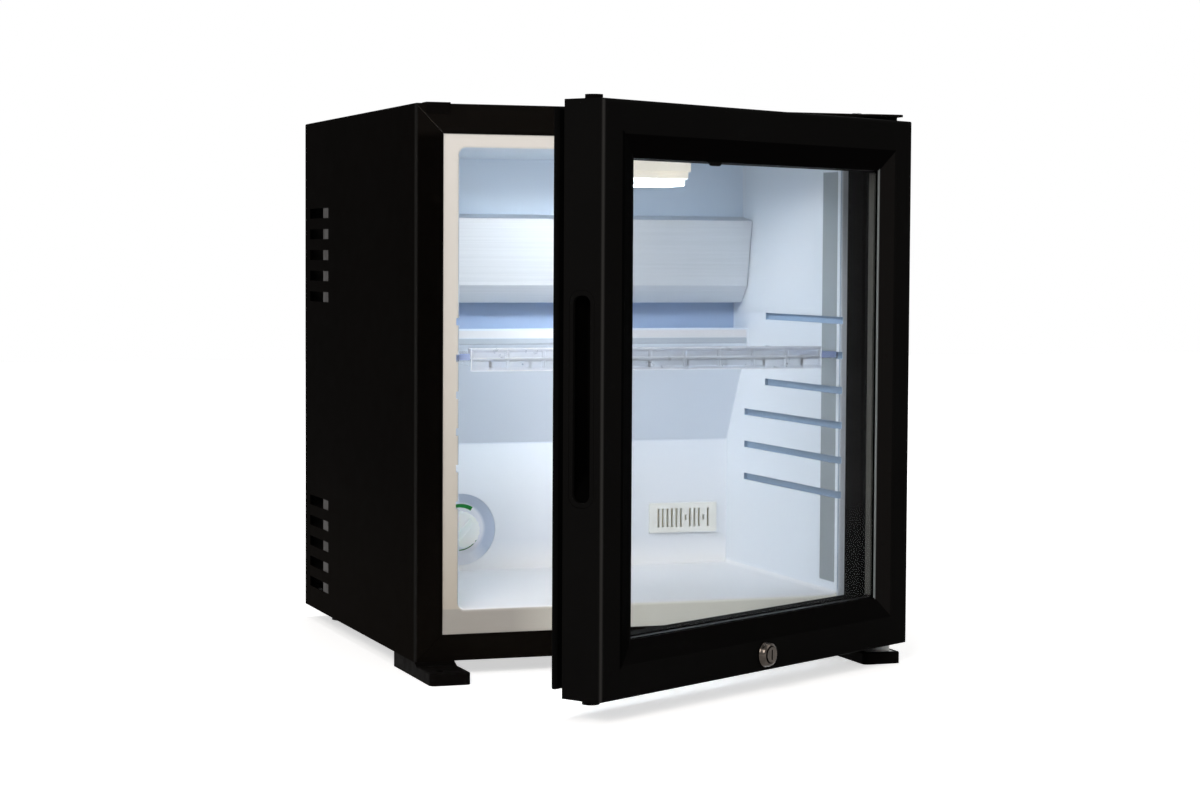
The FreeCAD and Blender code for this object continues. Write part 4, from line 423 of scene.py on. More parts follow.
tree.links.new(reach(tree, down, below, sides, -0.9, -0.5), shader.inputs["Emission Strength"])
coat(glow, "lamp_lens")


# Thermostat: a moulded knob in a shallow dish of the rear wall, with its grey body behind the wall.
# The dial ring round it is printed with two green arcs, a thin one and one that grows wider towards cold.
knob_white, tree, shader = new_finish("satin_white_plastic", 0.36, specular=0.4)
where = where_on_piece(tree)
two_tone(tree, shader, mottle(tree, where, 60, 3), (0.96, 0.96, 0.90), (0.98, 0.98, 0.93))
uneven_gloss(tree, shader, mottle(tree, where, 200, 3), 0.28, 0.44)
shader.inputs["Subsurface Weight"].default_value = 0.15
relief(tree, shader, mottle(tree, where, 1800, 2), 0.00003, 0.4)


def lathe(sheet, outline, centre, axis, steps=48, turn=2 * math.pi, start=None):
    """Turns an outline of (radius, height) points round an axis through a centre."""
    axis = Vector(axis).normalized()
    side = Vector(start) if start else axis.orthogonal().normalized()
    points = [sheet.verts.new(Vector(centre) + side * radius + axis * height) for radius, height in outline]
    edges = [sheet.edges.new(pair) for pair in zip(points, points[1:])]
    whole = turn >= 2 * math.pi
    return bmesh.ops.spin(sheet, geom=points + edges, cent=centre, axis=axis, dvec=(0, 0, 0), angle=turn,
                          steps=steps, use_merge=whole, use_duplicate=False)


low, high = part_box("thermostat_knob")
ring_low, ring_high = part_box("dial_ring")
knob_middle = Vector(((low[0] + high[0]) / 2, low[1], (low[2] + high[2]) / 2))
knob_radius = (high[0] - low[0]) / 2
into_wall = Vector((0, 1, 0))
knob_foot, stem, stem_end = ring_low[1] - low[1] - 0.0006, 0.0042, high[1] - low[1]
knob_face, grip_half, grip_arm, grip_tall, grip_turn = 0.0030, 0.0032, 0.0125, 0.0040, 42
knob_sides, side_per_groove, groove_deep = 60, 3, 0.0007
knob = bmesh.new()
lathe(knob, ((0, knob_face), (knob_radius - 0.0030, knob_face), (knob_radius - 0.0014, knob_face + 0.0006),
             (knob_radius - 0.0009, knob_face + 0.0020), (knob_radius, knob_foot - 0.0006),
             (knob_radius - 0.0012, knob_foot), (stem, knob_foot), (stem, stem_end), (0, stem_end)),
      knob_middle, into_wall, knob_sides)
bmesh.ops.remove_doubles(knob, verts=knob.verts, dist=0.000002)
for vert in knob.verts:
    away = Vector((vert.co.x - knob_middle.x, 0, vert.co.z - knob_middle.z))
    around = round(math.atan2(away.z, away.x) / (2 * math.pi) * knob_sides)
    if away.length > knob_radius - 0.0016 and around % side_per_groove == 0:
        vert.co -= away.normalized() * groove_deep
grip = bmesh.new()
add_block(grip, (knob_middle.x - grip_half, low[1], knob_middle.z - grip_arm),
          (knob_middle.x + grip_half, low[1] + grip_tall, knob_middle.z + grip_arm), 0.0016, 4)
bmesh.ops.rotate(grip, verts=grip.verts, cent=knob_middle,
                 matrix=Matrix.Rotation(math.radians(grip_turn), 3, "Y"))
grip_mesh = bpy.data.meshes.new("grip")
grip.to_mesh(grip_mesh)
grip.free()
knob.from_mesh(grip_mesh)
bpy.data.meshes.remove(grip_mesh)
settle(knob, "dial_knob", "knob", "knob", knob_white, "thermostat_knob")

ring = bmesh.new()
ring_radius = (ring_high[0] - ring_low[0]) / 2
ring_deep = ring_high[1] - ring_low[1]
ring_middle = Vector((knob_middle.x, ring_low[1], knob_middle.z))
lathe(ring, ((0.0062, 0.0), (0.0232, 0.0), (0.0238, -0.0002), (0.0244, -0.0007), (0.0308, -0.0043),
             (0.0314, -0.0046), (0.0318, -0.0047), (0.0319, -0.0044), (0.0290, ring_deep),
             (0.0062, ring_deep), (0.0062, 0.0)), ring_middle, into_wall, 72)
dish_white, tree, shader = new_finish("dish_plastic", 0.36, specular=0.3)
where = where_on_piece(tree)
spot = axes(tree, where)
slope, dish_rim = 0.7, (0.0215, 0.0245)
lean_middle = knob_middle.x + slope * knob_middle.z
lean = tree.nodes.new("ShaderNodeMath")
lean.operation = "MULTIPLY_ADD"
lean.inputs[1].default_value = slope
tree.links.new(spot["Z"], lean.inputs[0])
tree.links.new(spot["X"], lean.inputs[2])
round_edge = tree.nodes.new("ShaderNodeVectorMath")
round_edge.operation = "DISTANCE"
round_edge.inputs[1].default_value = ring_middle
tree.links.new(where, round_edge.inputs[0])
# Painted shade on the dish's slanted wall, towards its upper right.
painted_dish_shade = times(tree, reach(tree, round_edge.outputs["Value"], 0, 1, *dish_rim),
              reach(tree, lean.outputs["Value"], 0, 1, lean_middle - 0.006, lean_middle + 0.012))
tree.links.new(shade(tree, painted_dish_shade, (0.86, 0.87, 0.92), (0.52, 0.58, 0.70)), shader.inputs["Base Color"])
relief(tree, shader, mottle(tree, where, 1800, 2), 0.00003, 0.4)
settle(ring, "dial_plate", "cabinet", "knob", dish_white, "dial_ring")

green_print, tree, shader = new_finish("green_print", 0.5, specular=0.2)
where = where_on_piece(tree)
two_tone(tree, shader, mottle(tree, where, 400, 3), (0.003, 0.15, 0.018), (0.005, 0.19, 0.026))
for name, first, last, inner, outer, swell in (("cold_arc", -140, 33, 0.0192, 0.0200, 0.0030),
                                               ("mild_arc", 118, 180, 0.0186, 0.0192, 0.0004)):
    arc = bmesh.new()
    heading = math.radians(first)
    begin = Vector((math.sin(heading), 0, math.cos(heading)))
    ink = Vector((0, -0.0001, 0))
    points = [arc.verts.new(ring_middle + begin * radius + ink) for radius in (inner, outer)]
    bmesh.ops.spin(arc, geom=points + [arc.edges.new(points)], cent=ring_middle, axis=(0, 1, 0),
                   dvec=(0, 0, 0), angle=math.radians(last - first), steps=36, use_merge=False,
                   use_duplicate=False)
    for vert in arc.verts:
        away = vert.co - ring_middle
        share = ((math.degrees(math.atan2(away.x, away.z)) - first) % 360) / (last - first)
        if Vector((away.x, 0, away.z)).length > (inner + outer) / 2:
            vert.co += Vector((away.x, 0, away.z)).normalized() * swell * min(share, 1)
    settle(arc, name, "cabinet", "knob", green_print)

grey_plastic, tree, shader = new_finish("grey_plastic", 0.5)
where = where_on_piece(tree)
two_tone(tree, shader, mottle(tree, where, 50, 3), (0.09, 0.09, 0.095), (0.14, 0.14, 0.145))
relief(tree, shader, mottle(tree, where, 1500, 2), 0.00005, 0.4)
coat(grey_plastic, "thermostat_body")


# Sensor grille: a small cream cover clipped over the air sensor, low on the rear wall.
# Its slots are moulded right through.
coat(cream, "sensor_grille")


# Shelf: clear polystyrene, moulded with a fascia of small cells along its front.
# It slides in on the liner's grooves, and lets nearly all the lamp's light through. Glowing strips of painted
# highlight run along the fascia's edges, blue strips of painted reflection run down the panel's two sides,
# and blue tabs sit at the fascia's ends.
def let_light_through(tree, shader, tint):
    """Lets light that falls through a clear piece go straight on, a little tinted."""
    path = tree.nodes.new("ShaderNodeLightPath")
    clear = tree.nodes.new("ShaderNodeBsdfTransparent")
    clear.inputs["Color"].default_value = (*tint, 1)
    mix = tree.nodes.new("ShaderNodeMixShader")
    tree.links.new(path.outputs["Is Shadow Ray"], mix.inputs["Fac"])
    tree.links.new(shader.outputs["BSDF"], mix.inputs[1])
    tree.links.new(clear.outputs["BSDF"], mix.inputs[2])
    tree.links.new(mix.outputs["Shader"], tree.nodes["Material Output"].inputs["Surface"])


clear_shelf, tree, shader = new_finish("clear_polystyrene", 0.06)
shader.inputs["Transmission Weight"].default_value = 1.0
shader.inputs["IOR"].default_value = 1.45
let_light_through(tree, shader, (0.985, 0.99, 0.995))
where = where_on_piece(tree)
two_tone(tree, shader, mottle(tree, where, 30, 3), (0.93, 0.96, 0.98), (0.97, 0.985, 1.0))
uneven_gloss(tree, shader, mottle(tree, where, 120, 3), 0.03, 0.12)
coat(clear_shelf, "shelf_panel")
milky, tree, shader = new_finish("milky_polystyrene", 0.12)
shader.inputs["Transmission Weight"].default_value = 0.86
shader.inputs["IOR"].default_value = 1.16
let_light_through(tree, shader, (0.95, 0.96, 0.97))
where = where_on_piece(tree)
two_tone(tree, shader, mottle(tree, where, 90, 3), (0.84, 0.87, 0.93), (0.95, 0.97, 1.0))
uneven_gloss(tree, shader, mottle(tree, where, 160, 3), 0.26, 0.42)

low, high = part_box("shelf_front_rail")
fascia = bmesh.new()
cells_along, cell_wall, cell_tall, lip_radius = 10, 0.0009, 0.0075, 0.0012
span = high[0] - low[0]
bmesh.ops.create_grid(fascia, x_segments=cells_along, y_segments=2, size=0.5)
bmesh.ops.scale(fascia, vec=(span - 0.002, high[2] - low[2] - 0.003, 1), verts=fascia.verts)
bmesh.ops.rotate(fascia, cent=(0, 0, 0), matrix=Matrix.Rotation(math.pi / 2, 3, "X"), verts=fascia.verts)
bmesh.ops.translate(fascia, verts=fascia.verts,
                    vec=((low[0] + high[0]) / 2, low[1] + 0.0008, (low[2] + high[2]) / 2))
bmesh.ops.inset_individual(fascia, faces=fascia.faces, thickness=cell_wall, depth=0.0, use_even_offset=True)
pockets = [face for face in fascia.faces if len(face.edges) == 4 and face.calc_area() > 0.0001]
bmesh.ops.inset_individual(fascia, faces=pockets, thickness=cell_wall, depth=-0.0007, use_even_offset=True)
bmesh.ops.solidify(fascia, geom=fascia.faces, thickness=0.0016)
for lip_z in (low[2] + lip_radius, high[2] - lip_radius):
    lathe(fascia, ((0, 0), (lip_radius, 0.0004), (lip_radius, span - 0.0004), (0, span)),
          (low[0], low[1] + 0.0014, lip_z), (1, 0, 0), 12)
add_block(fascia, (low[0] + 0.001, high[1] - 0.0022, high[2] - cell_tall - 0.001),
          (high[0] - 0.001, high[1], high[2] - 0.0002), 0.0006)
for index in range(cells_along + 1):
    wall_x = low[0] + lip_radius + (span - 2 * lip_radius) * index / cells_along
    add_block(fascia, (wall_x - cell_wall, low[1] + 0.0026, high[2] - cell_tall),
              (wall_x + cell_wall, high[1] - 0.0020, high[2] - 0.0006), 0.0004)
settle(fascia, "shelf_fascia", "shelf", "clear_shelf", milky, "shelf_front_rail")
painted_highlight_finish, tree, shader = new_finish("painted_highlight_strip", 0.2, specular=0.5)
where = where_on_piece(tree)
two_tone(tree, shader, mottle(tree, where, 140, 3), (0.78, 0.82, 0.88), (0.96, 0.98, 1.0))
# The strips glow faintly: painted highlight.
shader.inputs["Emission Color"].default_value = (0.90, 0.94, 1.0, 1)
shader.inputs["Emission Strength"].default_value = 0.18
half_line, set_in = 0.0003, 0.0004
edges = bmesh.new()
for edge_z in (low[2] + set_in, high[2] - 0.0006, (low[2] + high[2]) / 2 + 0.0012):
    add_block(edges, (low[0] + lip_radius, low[1] + 0.00002, edge_z - half_line),
              (high[0] - lip_radius, low[1] + 0.0006, edge_z + half_line), 0.0001)
for edge_x in (low[0] + set_in, high[0] - set_in):
    add_block(edges, (edge_x - half_line, low[1] + 0.00002, low[2] + set_in),
              (edge_x + half_line, low[1] + 0.0008, high[2] - set_in), 0.0001)
settle(edges, "shelf_painted_highlights", "shelf", "clear_shelf", painted_highlight_finish)
blue_tab_and_painted_reflection, tree, shader = new_finish("blue_tabs_and_painted_reflection", 0.3, specular=0.3)
where = where_on_piece(tree)
two_tone(tree, shader, mottle(tree, where, 90, 3), (0.32, 0.42, 0.74), (0.46, 0.55, 0.82))
shelf_low, shelf_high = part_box("shelf_panel")
side_gap, strip_wide, strip_short = 0.0006, 0.0018, 0.004
ends = bmesh.new()
for inner, outer in ((low[0] - set_in, shelf_low[0] + side_gap),
                     (high[0] + set_in, shelf_high[0] - side_gap)):
    add_block(ends, (min(inner, outer), low[1] + 0.0012, high[2] - 0.0096),
              (max(inner, outer), low[1] + 0.0030, high[2] - 0.0044), 0.0004)
# Blue strips down the panel's sides: painted reflection.
for side_x in (shelf_low[0] + side_gap, shelf_high[0] - side_gap - strip_wide):
    add_block(ends, (side_x, shelf_low[1] + strip_short, shelf_high[2] - 0.0028),
              (side_x + strip_wide, shelf_high[1] - strip_short, shelf_high[2] - 0.0004), 0.0003)
settle(ends, "shelf_blue_ends", "shelf", "clear_shelf", blue_tab_and_painted_reflection)


# Hinges: steel plates at the top and bottom on the right, with 6 mm pins riveted in them.
# The lower one is zinc plated, and the black one on top is packed up from the wrapper by a plastic strip.
coat(zinc, "lower_hinge_plate", "hinge_pins", "top_hinge_screws")
coat(powder_coat, "top_hinge_plate")
coat(grain_black, "top_hinge_packing", "blank_hinge_cover")


# Feet: two moulded front feet that reach forward of the cabinet, the right one also carrying the lower hinge.
# Behind are two rubber buttons, and a nylon washer takes the door's weight.
coat(grain_black, "left_front_foot", "right_front_foot")
rubber, tree, shader = new_finish("black_rubber", 0.8, specular=0.25)
where = where_on_piece(tree)
two_tone(tree, shader, mottle(tree, where, 60, 4), (0.014, 0.014, 0.015), (0.028, 0.028, 0.028))
relief(tree, shader, mottle(tree, where, 900, 3), 0.0001, 0.5)
coat(rubber, "rear_feet")
nylon, tree, shader = new_finish("natural_nylon", 0.42)
where = where_on_piece(tree)
two_tone(tree, shader, mottle(tree, where, 120, 3), (0.80, 0.79, 0.75), (0.90, 0.89, 0.86))
shader.inputs["Subsurface Weight"].default_value = 0.1
relief(tree, shader, mottle(tree, where, 2000, 2), 0.00004, 0.4)
coat(nylon, "hinge_washer")


# Lock keeper: a steel strap, bent, coated black and screwed under the cabinet's front edge.
# It has a slot for the cam.
coat(powder_coat, "lock_keeper")


# Door frame: four hollow aluminium profiles, mitred at the corners and drawn together on plastic keys.
# They are coated satin black and bare on the edge beside the hinge, with a painted highlight down the free
# front corner.
free_corner, bare_corner = (-0.1336, -0.4398), (0.1706, -0.2472)


def frame_finish(name, bevel, tone):
    """Satin black with a painted highlight down the free corner and a bare line by the hinge, and painted
    light or shade on the bevel towards the glass.
    """
    material, tree, shader = new_finish(name, 0.34, specular=0.0005)
    where = where_on_piece(tree)
    black = shade(tree, reach(tree, mottle(tree, where, 12, 4), 0, 1),
                  (0.0046, 0.0044, 0.0043), (0.0054, 0.0052, 0.0050))
    if len(bevel) == 2:
        inner = near_line(tree, where, *bevel, 0.0084, 0.0088)
    else:
        inner = between(tree, axes(tree, where)["Z"], *bevel)
    black = shade(tree, inner, black, tone)
    # Painted highlight down the free front corner.
    painted_edge_highlight = shade(tree, near_line(tree, where, *free_corner, 0.0004, 0.0016), black, (0.027, 0.026, 0.025))
    bare = near_line(tree, where, *bare_corner, 0.0009, 0.0012)
    tree.links.new(shade(tree, bare, painted_edge_highlight, (0.17, 0.185, 0.185)), shader.inputs["Base Color"])
    uneven_gloss(tree, shader, mottle(tree, where, 70), 0.30, 0.38)
    relief(tree, shader, mottle(tree, where, 1800, 2), 0.00004, 0.45)
    return material


# The bevel tones are painted light and shade: lightest on the hinge stile, darkest on the free stile and top
# rail.
coat(frame_finish("free_stile_black", (-0.1095, -0.4240), (0.0012, 0.0012, 0.0012)), "door_free_stile")
coat(frame_finish("hinge_stile_black", (0.1790, -0.2483), (0.0085, 0.0078, 0.0074)), "door_hinge_stile")
coat(frame_finish("top_rail_black", (0.4035, 0.4208, 0.0003), (0.0016, 0.0014, 0.0014)), "door_top_rail")
coat(frame_finish("bottom_rail_black", (0.0404, 0.0580, 0.0003), (0.0034, 0.0032, 0.0031)),
     "door_bottom_rail", "glazing_beads")
coat(grey_plastic, "door_corner_keys")
coat(grain_black, "hinge_bushes", "hinge_hole_plugs")


# Glazing: two panes of toughened glass, 4 mm each, sealed to an aluminium spacer with dry air between them.
# Their faces are treated against glare, and the spacer shows dull grey in front of a black line of sealant.
# A film of air is left where a pane touches its neighbours.
def clear_glass(name, light, dark):
    """Glass with the faint unevenness of toughening."""
    material, tree, shader = new_finish(name, 0.0)
    shader.inputs["Transmission Weight"].default_value = 1.0
    shader.inputs["IOR"].default_value = 1.05
    let_light_through(tree, shader, light)
    where = where_on_piece(tree)
    two_tone(tree, shader, mottle(tree, where, 7, 2), light, dark)
    return material


open_angle = math.radians(31.5)
hinge_line = Vector((0.190, -0.22155, 0))
door_turn = (Matrix.Translation(hinge_line) @ Matrix.Rotation(open_angle, 4, "Z")
             @ Matrix.Translation(-hinge_line))
door_left, door_right, door_foot, door_top = -0.201, 0.201, 0.016, 0.4452
door_front, door_back = -0.23955, -0.20355


def add_frame(sheet, inset, outline):
    """A mitred frame: an outline of (inward, deep) points, run round the shut door at an inset."""
    half_wide, half_tall = (door_right - door_left) / 2, (door_top - door_foot) / 2
    quarter_turn, half_turn = (Matrix.Rotation(angle, 3, "Y") for angle in (math.pi / 2, math.pi))
    for turn, half, reach_out in ((False, half_tall, half_wide), (True, half_wide, half_tall)):
        for sense in (1, -1):
            bar = bmesh.new()
            points = [bar.verts.new((-reach_out + inset + inward, deep, -half)) for inward, deep in outline]
            face = bar.faces.new(points)
            run = bmesh.ops.extrude_face_region(bar, geom=[face])
            far_end = [item for item in run["geom"] if isinstance(item, bmesh.types.BMVert)]
            bmesh.ops.translate(bar, vec=(0, 0, 2 * half), verts=far_end)
            for end in (1, -1):
                bmesh.ops.bisect_plane(bar, geom=bar.verts[:] + bar.edges[:] + bar.faces[:], dist=0.0000001,
                                       plane_co=(-reach_out, 0, end * half), plane_no=(1, 0, end),
                                       clear_outer=True)
            if sense < 0:
                bmesh.ops.rotate(bar, cent=(0, 0, 0), matrix=half_turn, verts=bar.verts)
            if turn:
                bmesh.ops.rotate(bar, cent=(0, 0, 0), matrix=quarter_turn, verts=bar.verts)
            bmesh.ops.translate(bar, vec=(0, 0, (door_top + door_foot) / 2), verts=bar.verts)
            side = bpy.data.meshes.new("side")
            bar.to_mesh(side)
            bar.free()
            sheet.from_mesh(side)
            bpy.data.meshes.remove(side)
    bmesh.ops.remove_doubles(sheet, verts=sheet.verts, dist=0.000002)


def hang(sheet):
    """Turns what was made for the shut door to where the door stands open."""
    bmesh.ops.transform(sheet, matrix=door_turn, verts=sheet.verts)


pane_front, pane_thick, pane_inset, pane_gap, film = door_front + 0.0070, 0.0040, 0.0313, 0.0075, 0.0001
spacer_front = pane_front + pane_thick
for name, node, slot, start, light, dark in (
        ("front_glass", "outer_pane", "tinted_glass", pane_front, (0.80, 0.81, 0.825), (0.815, 0.825, 0.84)),
        ("rear_glass", "inner_pane", "clear_glass", spacer_front + pane_gap, (0.95, 0.96, 0.97),
         (0.965, 0.975, 0.98))):
    pane = bmesh.new()
    add_block(pane, (door_left + pane_inset, start + film, door_foot + pane_inset),
              (door_right - pane_inset, start + pane_thick - film, door_top - pane_inset), 0.0004)
    hang(pane)
    settle(pane, name, "door", slot, clear_glass(name, light, dark), node, smooth=15)

dull_aluminium, tree, shader = new_finish("dull_aluminium", 0.42, metallic=0.0, specular=0.05)
grain = mottle(tree, where_on_piece(tree, (40, 40, 900)), 1, 3)
dull = shade(tree, reach(tree, grain, 0, 1), (0.062, 0.062, 0.056), (0.080, 0.080, 0.071))
bare_stretch = between(tree, axes(tree, where_on_piece(tree))["Z"], 0.0590, 0.4020, 0.0005)
tree.links.new(shade(tree, bare_stretch, (0.006, 0.006, 0.006), dull), shader.inputs["Base Color"])
relief(tree, shader, grain, 0.00002, 0.4)
seal_inset, spacer_inset, spacer_wide, seal_wide = 0.033, 0.0387, 0.0024, 0.0080
spacer_back = spacer_front + 0.0047
bar = bmesh.new()
add_frame(bar, spacer_inset, ((0, spacer_front), (spacer_wide, spacer_front), (spacer_wide, spacer_back),
                              (0, spacer_back)))
hang(bar)
settle(bar, "spacer_bar", "door", "spacer", dull_aluminium, "pane_spacer")

sealant, tree, shader = new_finish("black_sealant", 0.7, specular=0.004)
where = where_on_piece(tree)
two_tone(tree, shader, mottle(tree, where, 300, 3), (0.0012, 0.0012, 0.0012), (0.0030, 0.0030, 0.0030))
seal_step, seal_back = spacer_inset - seal_inset, spacer_front + pane_gap
line = bmesh.new()
add_frame(line, seal_inset, ((0, spacer_front), (seal_step, spacer_front), (seal_step, spacer_back),
                             (seal_wide, spacer_back), (seal_wide, seal_back), (0, seal_back)))
hang(line)
settle(line, "rear_sealant", "door", "spacer", sealant)


# Tab: a small black stop that shows at the top of the glass, wider above than below, with its lower
# corners rounded. It is moulded plastic and sits against the front of the outer pane.
tab_low, tab_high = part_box("glass_tab")
tab_middle, tab_front, half_head, half_foot = door_left + 0.140, door_front + 0.0071, 0.0083, 0.0060
tab = bmesh.new()
corners = [tab.verts.new((tab_middle + across, tab_front, level))
           for across, level in ((-half_head, tab_high[2]), (half_head, tab_high[2]),
                                 (half_foot, tab_low[2]), (-half_foot, tab_low[2]))]
face = tab.faces.new(corners)
bmesh.ops.bevel(tab, geom=corners[2:], offset=0.0012, offset_type="OFFSET", affect="VERTICES", segments=5,
                profile=0.5, material=-1)
thick = bmesh.ops.extrude_face_region(tab, geom=tab.faces[:])
bmesh.ops.translate(tab, vec=(0, -0.001, 0),
                    verts=[item for item in thick["geom"] if isinstance(item, bmesh.types.BMVert)])
hang(tab)
settle(tab, "glass_stop", "door", "black_plastic", grain_black, "glass_tab")


# Gasket: a black vinyl bellows with a magnetic strip in its nose, pushed into a groove of the door frame.
# It runs round the door's back in one ring, welded at the corners.
vinyl, tree, shader = new_finish("soft_black_vinyl", 0.55, specular=0.004)
where = where_on_piece(tree)
two_tone(tree, shader, mottle(tree, where, 40, 4), (0.0016, 0.0016, 0.0016), (0.0024, 0.0024, 0.0024))
uneven_gloss(tree, shader, mottle(tree, where, 120, 3), 0.46, 0.66)
relief(tree, shader, mottle(tree, where, 900, 2), 0.00006, 0.5)
gasket = bmesh.new()
add_frame(gasket, 0.005, [(inward, door_back + deep) for inward, deep in (
    (0.0055, 0.0000), (0.0105, 0.0000), (0.0108, 0.0012), (0.0098, 0.0022), (0.0110, 0.0032),
    (0.0140, 0.0042), (0.0146, 0.0052), (0.0136, 0.0062), (0.0106, 0.0072), (0.0112, 0.0084),
    (0.0150, 0.0094), (0.0160, 0.0106), (0.0160, 0.0132), (0.0152, 0.0145), (0.0135, 0.0148),
    (0.0025, 0.0148), (0.0008, 0.0145), (0.0000, 0.0132), (0.0000, 0.0106), (0.0010, 0.0094),
    (0.0048, 0.0084), (0.0054, 0.0072), (0.0024, 0.0062), (0.0014, 0.0052), (0.0020, 0.0042),
    (0.0050, 0.0032), (0.0062, 0.0022), (0.0052, 0.0012))])
hang(gasket)
settle(gasket, "bellows_gasket", "door", "gasket", vinyl, "door_gasket")


# Handle: a moulded cup let into the free stile's outer side, to pull the door by.
# Its mouth is a long slot with a rounded rim, and the floor of the cup slopes up at the lower end.
plate_wide, plate_tall, plate_thick, plate_corner = 0.0229, 0.155, 0.0008, 0.009
plate_middle = (door_left - plate_thick, door_front + 0.01925, 0.2320)
rim_wide, cup_deep, cup_floor_share, slope_up, slope_down = 0.0045, 0.0170, 0.72, 0.020, 0.004
cup = bmesh.new()
bmesh.ops.create_grid(cup, x_segments=1, y_segments=1, size=0.5)
bmesh.ops.scale(cup, vec=(plate_wide, plate_tall, 1), verts=cup.verts)
bmesh.ops.rotate(cup, cent=(0, 0, 0), matrix=Matrix(((0, 0, -1), (-1, 0, 0), (0, 1, 0))), verts=cup.verts)
bmesh.ops.translate(cup, vec=plate_middle, verts=cup.verts)
bmesh.ops.bevel(cup, geom=cup.verts[:], offset=plate_corner, offset_type="OFFSET", affect="VERTICES",
                segments=8, profile=0.5, material=-1)
mouth = max(cup.faces, key=lambda face: face.calc_area())
bmesh.ops.inset_region(cup, faces=[mouth], thickness=rim_wide, depth=0.0, use_even_offset=True)
bmesh.ops.inset_region(cup, faces=[mouth], thickness=0.0004, depth=-0.0006, use_even_offset=True)
pocket = bmesh.ops.extrude_face_region(cup, geom=[mouth])
floor_verts = [item for item in pocket["geom"] if isinstance(item, bmesh.types.BMVert)]
cup.faces.remove(mouth)
bmesh.ops.translate(cup, vec=(cup_deep, 0, 0), verts=floor_verts)
bmesh.ops.scale(cup, vec=(1, cup_floor_share, 1), verts=floor_verts,
                space=Matrix.Translation((0, -plate_middle[1], 0)))
for vert in floor_verts:
    vert.co.z += slope_up if vert.co.z < plate_middle[2] else -slope_down
rim = bmesh.ops.extrude_edge_only(cup, edges=[edge for edge in cup.edges if edge.is_boundary])
bmesh.ops.translate(cup, vec=(plate_thick, 0, 0),
                    verts=[item for item in rim["geom"] if isinstance(item, bmesh.types.BMVert)])
bmesh.ops.recalc_face_normals(cup, faces=cup.faces)
hang(cup)
cup_black, tree, shader = new_finish("cup_black_plastic", 0.4, specular=0.0006)
where = where_on_piece(tree)
two_tone(tree, shader, mottle(tree, where, 28, 4), (0.0010, 0.0010, 0.0009), (0.0016, 0.0015, 0.0014))
uneven_gloss(tree, shader, mottle(tree, where, 90, 3), 0.34, 0.46)
relief(tree, shader, mottle(tree, where, 2400, 2), 0.00005, 0.4)
settle(cup, "pull_cup", "door", "black_plastic", cup_black, "handle_cup", smooth=50)


# Lock: a chromed cylinder through the bottom rail, held by a nut, with a turning plug and a cam behind.
# It is turned brass, chrome plated, and the cam is pressed from zinc plated strip. The chrome's colour is
# darkened to paint the dark surroundings that it reflects.
chrome, tree, shader = new_finish("chrome_painted_dark", 0.09, metallic=1.0)
where = where_on_piece(tree)
# The chrome is darkened: a painted reflection of dark surroundings.
two_tone(tree, shader, mottle(tree, where, 300, 4), (0.045, 0.038, 0.033), (0.075, 0.064, 0.055))
uneven_gloss(tree, shader, mottle(tree, where, 500, 4), 0.06, 0.16)
relief(tree, shader, mottle(tree, where, 3000, 2), 0.00001, 0.3)
coat(chrome, "lock_plug")
lock_z, head_front = 0.0293, door_front - 0.0056
collar = bmesh.new()
lathe(collar, ((0.00605, 0.0284), (0.0080, 0.0284), (0.0080, 0.0056), (0.0100, 0.0056), (0.0100, 0.0046),
               (0.0096, 0.0038), (0.0093, 0.0021), (0.0086, 0.0008), (0.0078, 0.0002), (0.0072, 0.0000),
               (0.0067, 0.0003), (0.00645, 0.0012), (0.00605, 0.0014), (0.00605, 0.0284)),
      (0, head_front, lock_z), (0, 1, 0), 64)
hang(collar)
settle(collar, "lock_collar", "door", "chrome", chrome, "lock_body", smooth=24)
coat(zinc, "lock_nut", "lock_cam", "lock_cam_screw")


# Floor and air: a pale studio floor that keeps a soft shadow, and a white room beyond it.
# Both look whiter to the camera, and in reflections, than the light that they throw on the fridge.
floor_data = bpy.data.meshes.new("floor")
sheet = bmesh.new()
bmesh.ops.create_grid(sheet, x_segments=2, y_segments=2, size=6)
sheet.to_mesh(floor_data)
sheet.free()
floor = bpy.data.objects.new("floor", floor_data)
bpy.context.scene.collection.objects.link(floor)

pale_floor, tree, shader = new_finish("pale_floor", 0.8, specular=0.1)
where = where_on_piece(tree)
two_tone(tree, shader, mottle(tree, where, 3, 3), (0.86, 0.86, 0.86), (0.88, 0.88, 0.88))


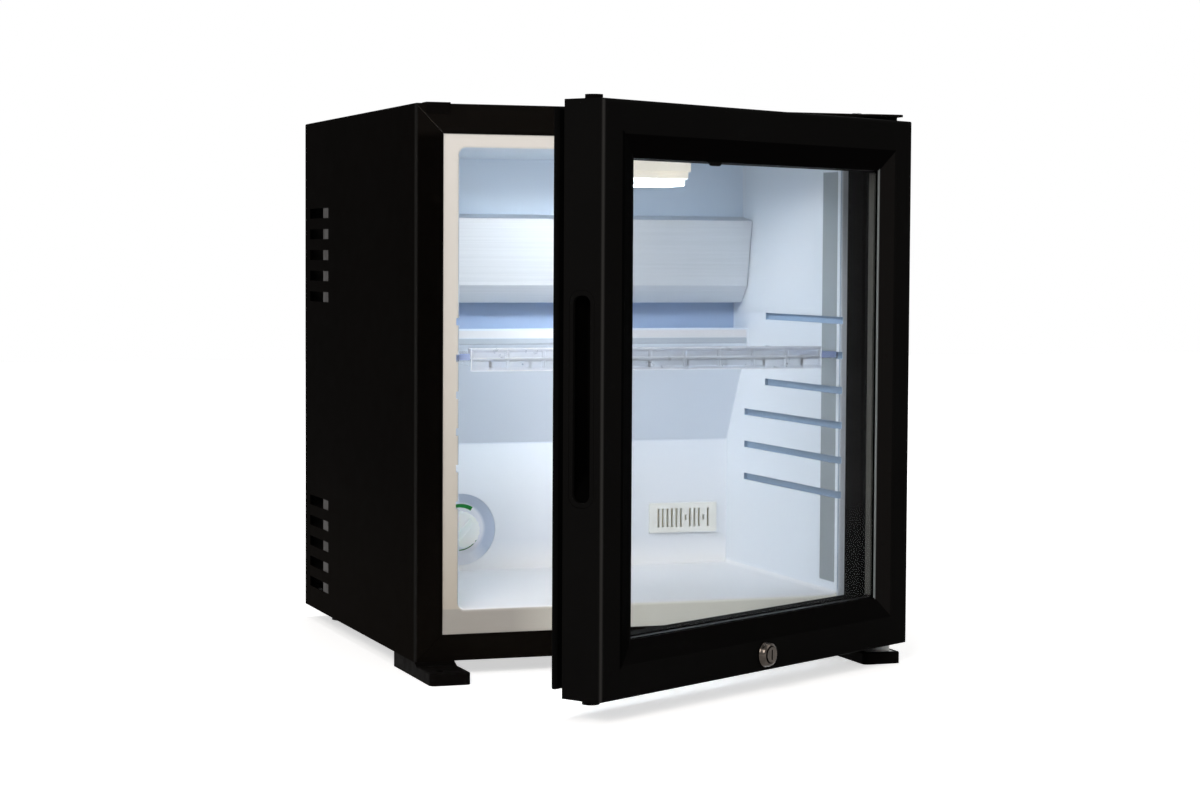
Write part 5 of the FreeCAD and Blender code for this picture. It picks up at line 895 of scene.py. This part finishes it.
def seen_rays(tree):
    """1 for what the camera, a reflection or glass sees, and 0 for light that falls on things."""
    path = tree.nodes.new("ShaderNodeLightPath")
    total = path.outputs["Is Camera Ray"]
    for name in ("Is Glossy Ray", "Is Transmission Ray"):
        add = tree.nodes.new("ShaderNodeMath")
        add.operation = "MAXIMUM"
        tree.links.new(total, add.inputs[0])
        tree.links.new(path.outputs[name], add.inputs[1])
        total = add.outputs["Value"]
    return total


lit = tree.nodes.new("ShaderNodeEmission")
away = tree.nodes.new("ShaderNodeVectorMath")
away.operation = "LENGTH"
tree.links.new(where, away.inputs[0])
near, far = 0.55, 1.7
paler = times(tree, reach(tree, away.outputs["Value"], 0.60, 1.0, near, far), seen_rays(tree))
tree.links.new(paler, lit.inputs["Strength"])
both = tree.nodes.new("ShaderNodeAddShader")
tree.links.new(shader.outputs["BSDF"], both.inputs[0])
tree.links.new(lit.outputs["Emission"], both.inputs[1])
tree.links.new(both.outputs["Shader"], tree.nodes["Material Output"].inputs["Surface"])
floor_data.materials.append(pale_floor)

world = bpy.data.worlds.new("white_room")
bpy.context.scene.world = world
world.use_nodes = True
tree = world.node_tree
air = tree.nodes["Background"]
air.inputs["Color"].default_value = (1, 1, 1, 1)
tree.links.new(reach(tree, seen_rays(tree), 0.22, 1.0, 0, 1), air.inputs["Strength"])


# Lamps: a large soft box high on the left in front, a weaker one on the right, and one overhead.
# Their light is a little warm, and the white room fills the shadows between them.
def soft_box(name, spot, aim, size, power, colour):
    """A square area lamp that faces a point."""
    data = bpy.data.lights.new(name, "AREA")
    data.shape = "SQUARE"
    data.size = size
    data.energy = power
    data.color = colour
    lamp = bpy.data.objects.new(name, data)
    lamp.location = spot
    lamp.rotation_mode = "QUATERNION"
    lamp.rotation_quaternion = (Vector(aim) - Vector(spot)).to_track_quat("-Z", "Y")
    bpy.context.scene.collection.objects.link(lamp)


soft_box("front_lamp", spot=(-1.6, -2.2, 1.6), aim=(0, -0.1, 0.2), size=1.2, power=44,
         colour=(1.0, 0.96, 0.92))
soft_box("side_lamp", spot=(2.2, -1.4, 1.2), aim=(0, 0, 0.2), size=1.2, power=8, colour=(1.0, 0.97, 0.94))
soft_box("top_lamp", spot=(0.2, 0.6, 2.4), aim=(0, 0, 0.2), size=1.6, power=24, colour=(1.0, 0.98, 0.96))

bpy.context.scene.view_settings.view_transform = "Standard"
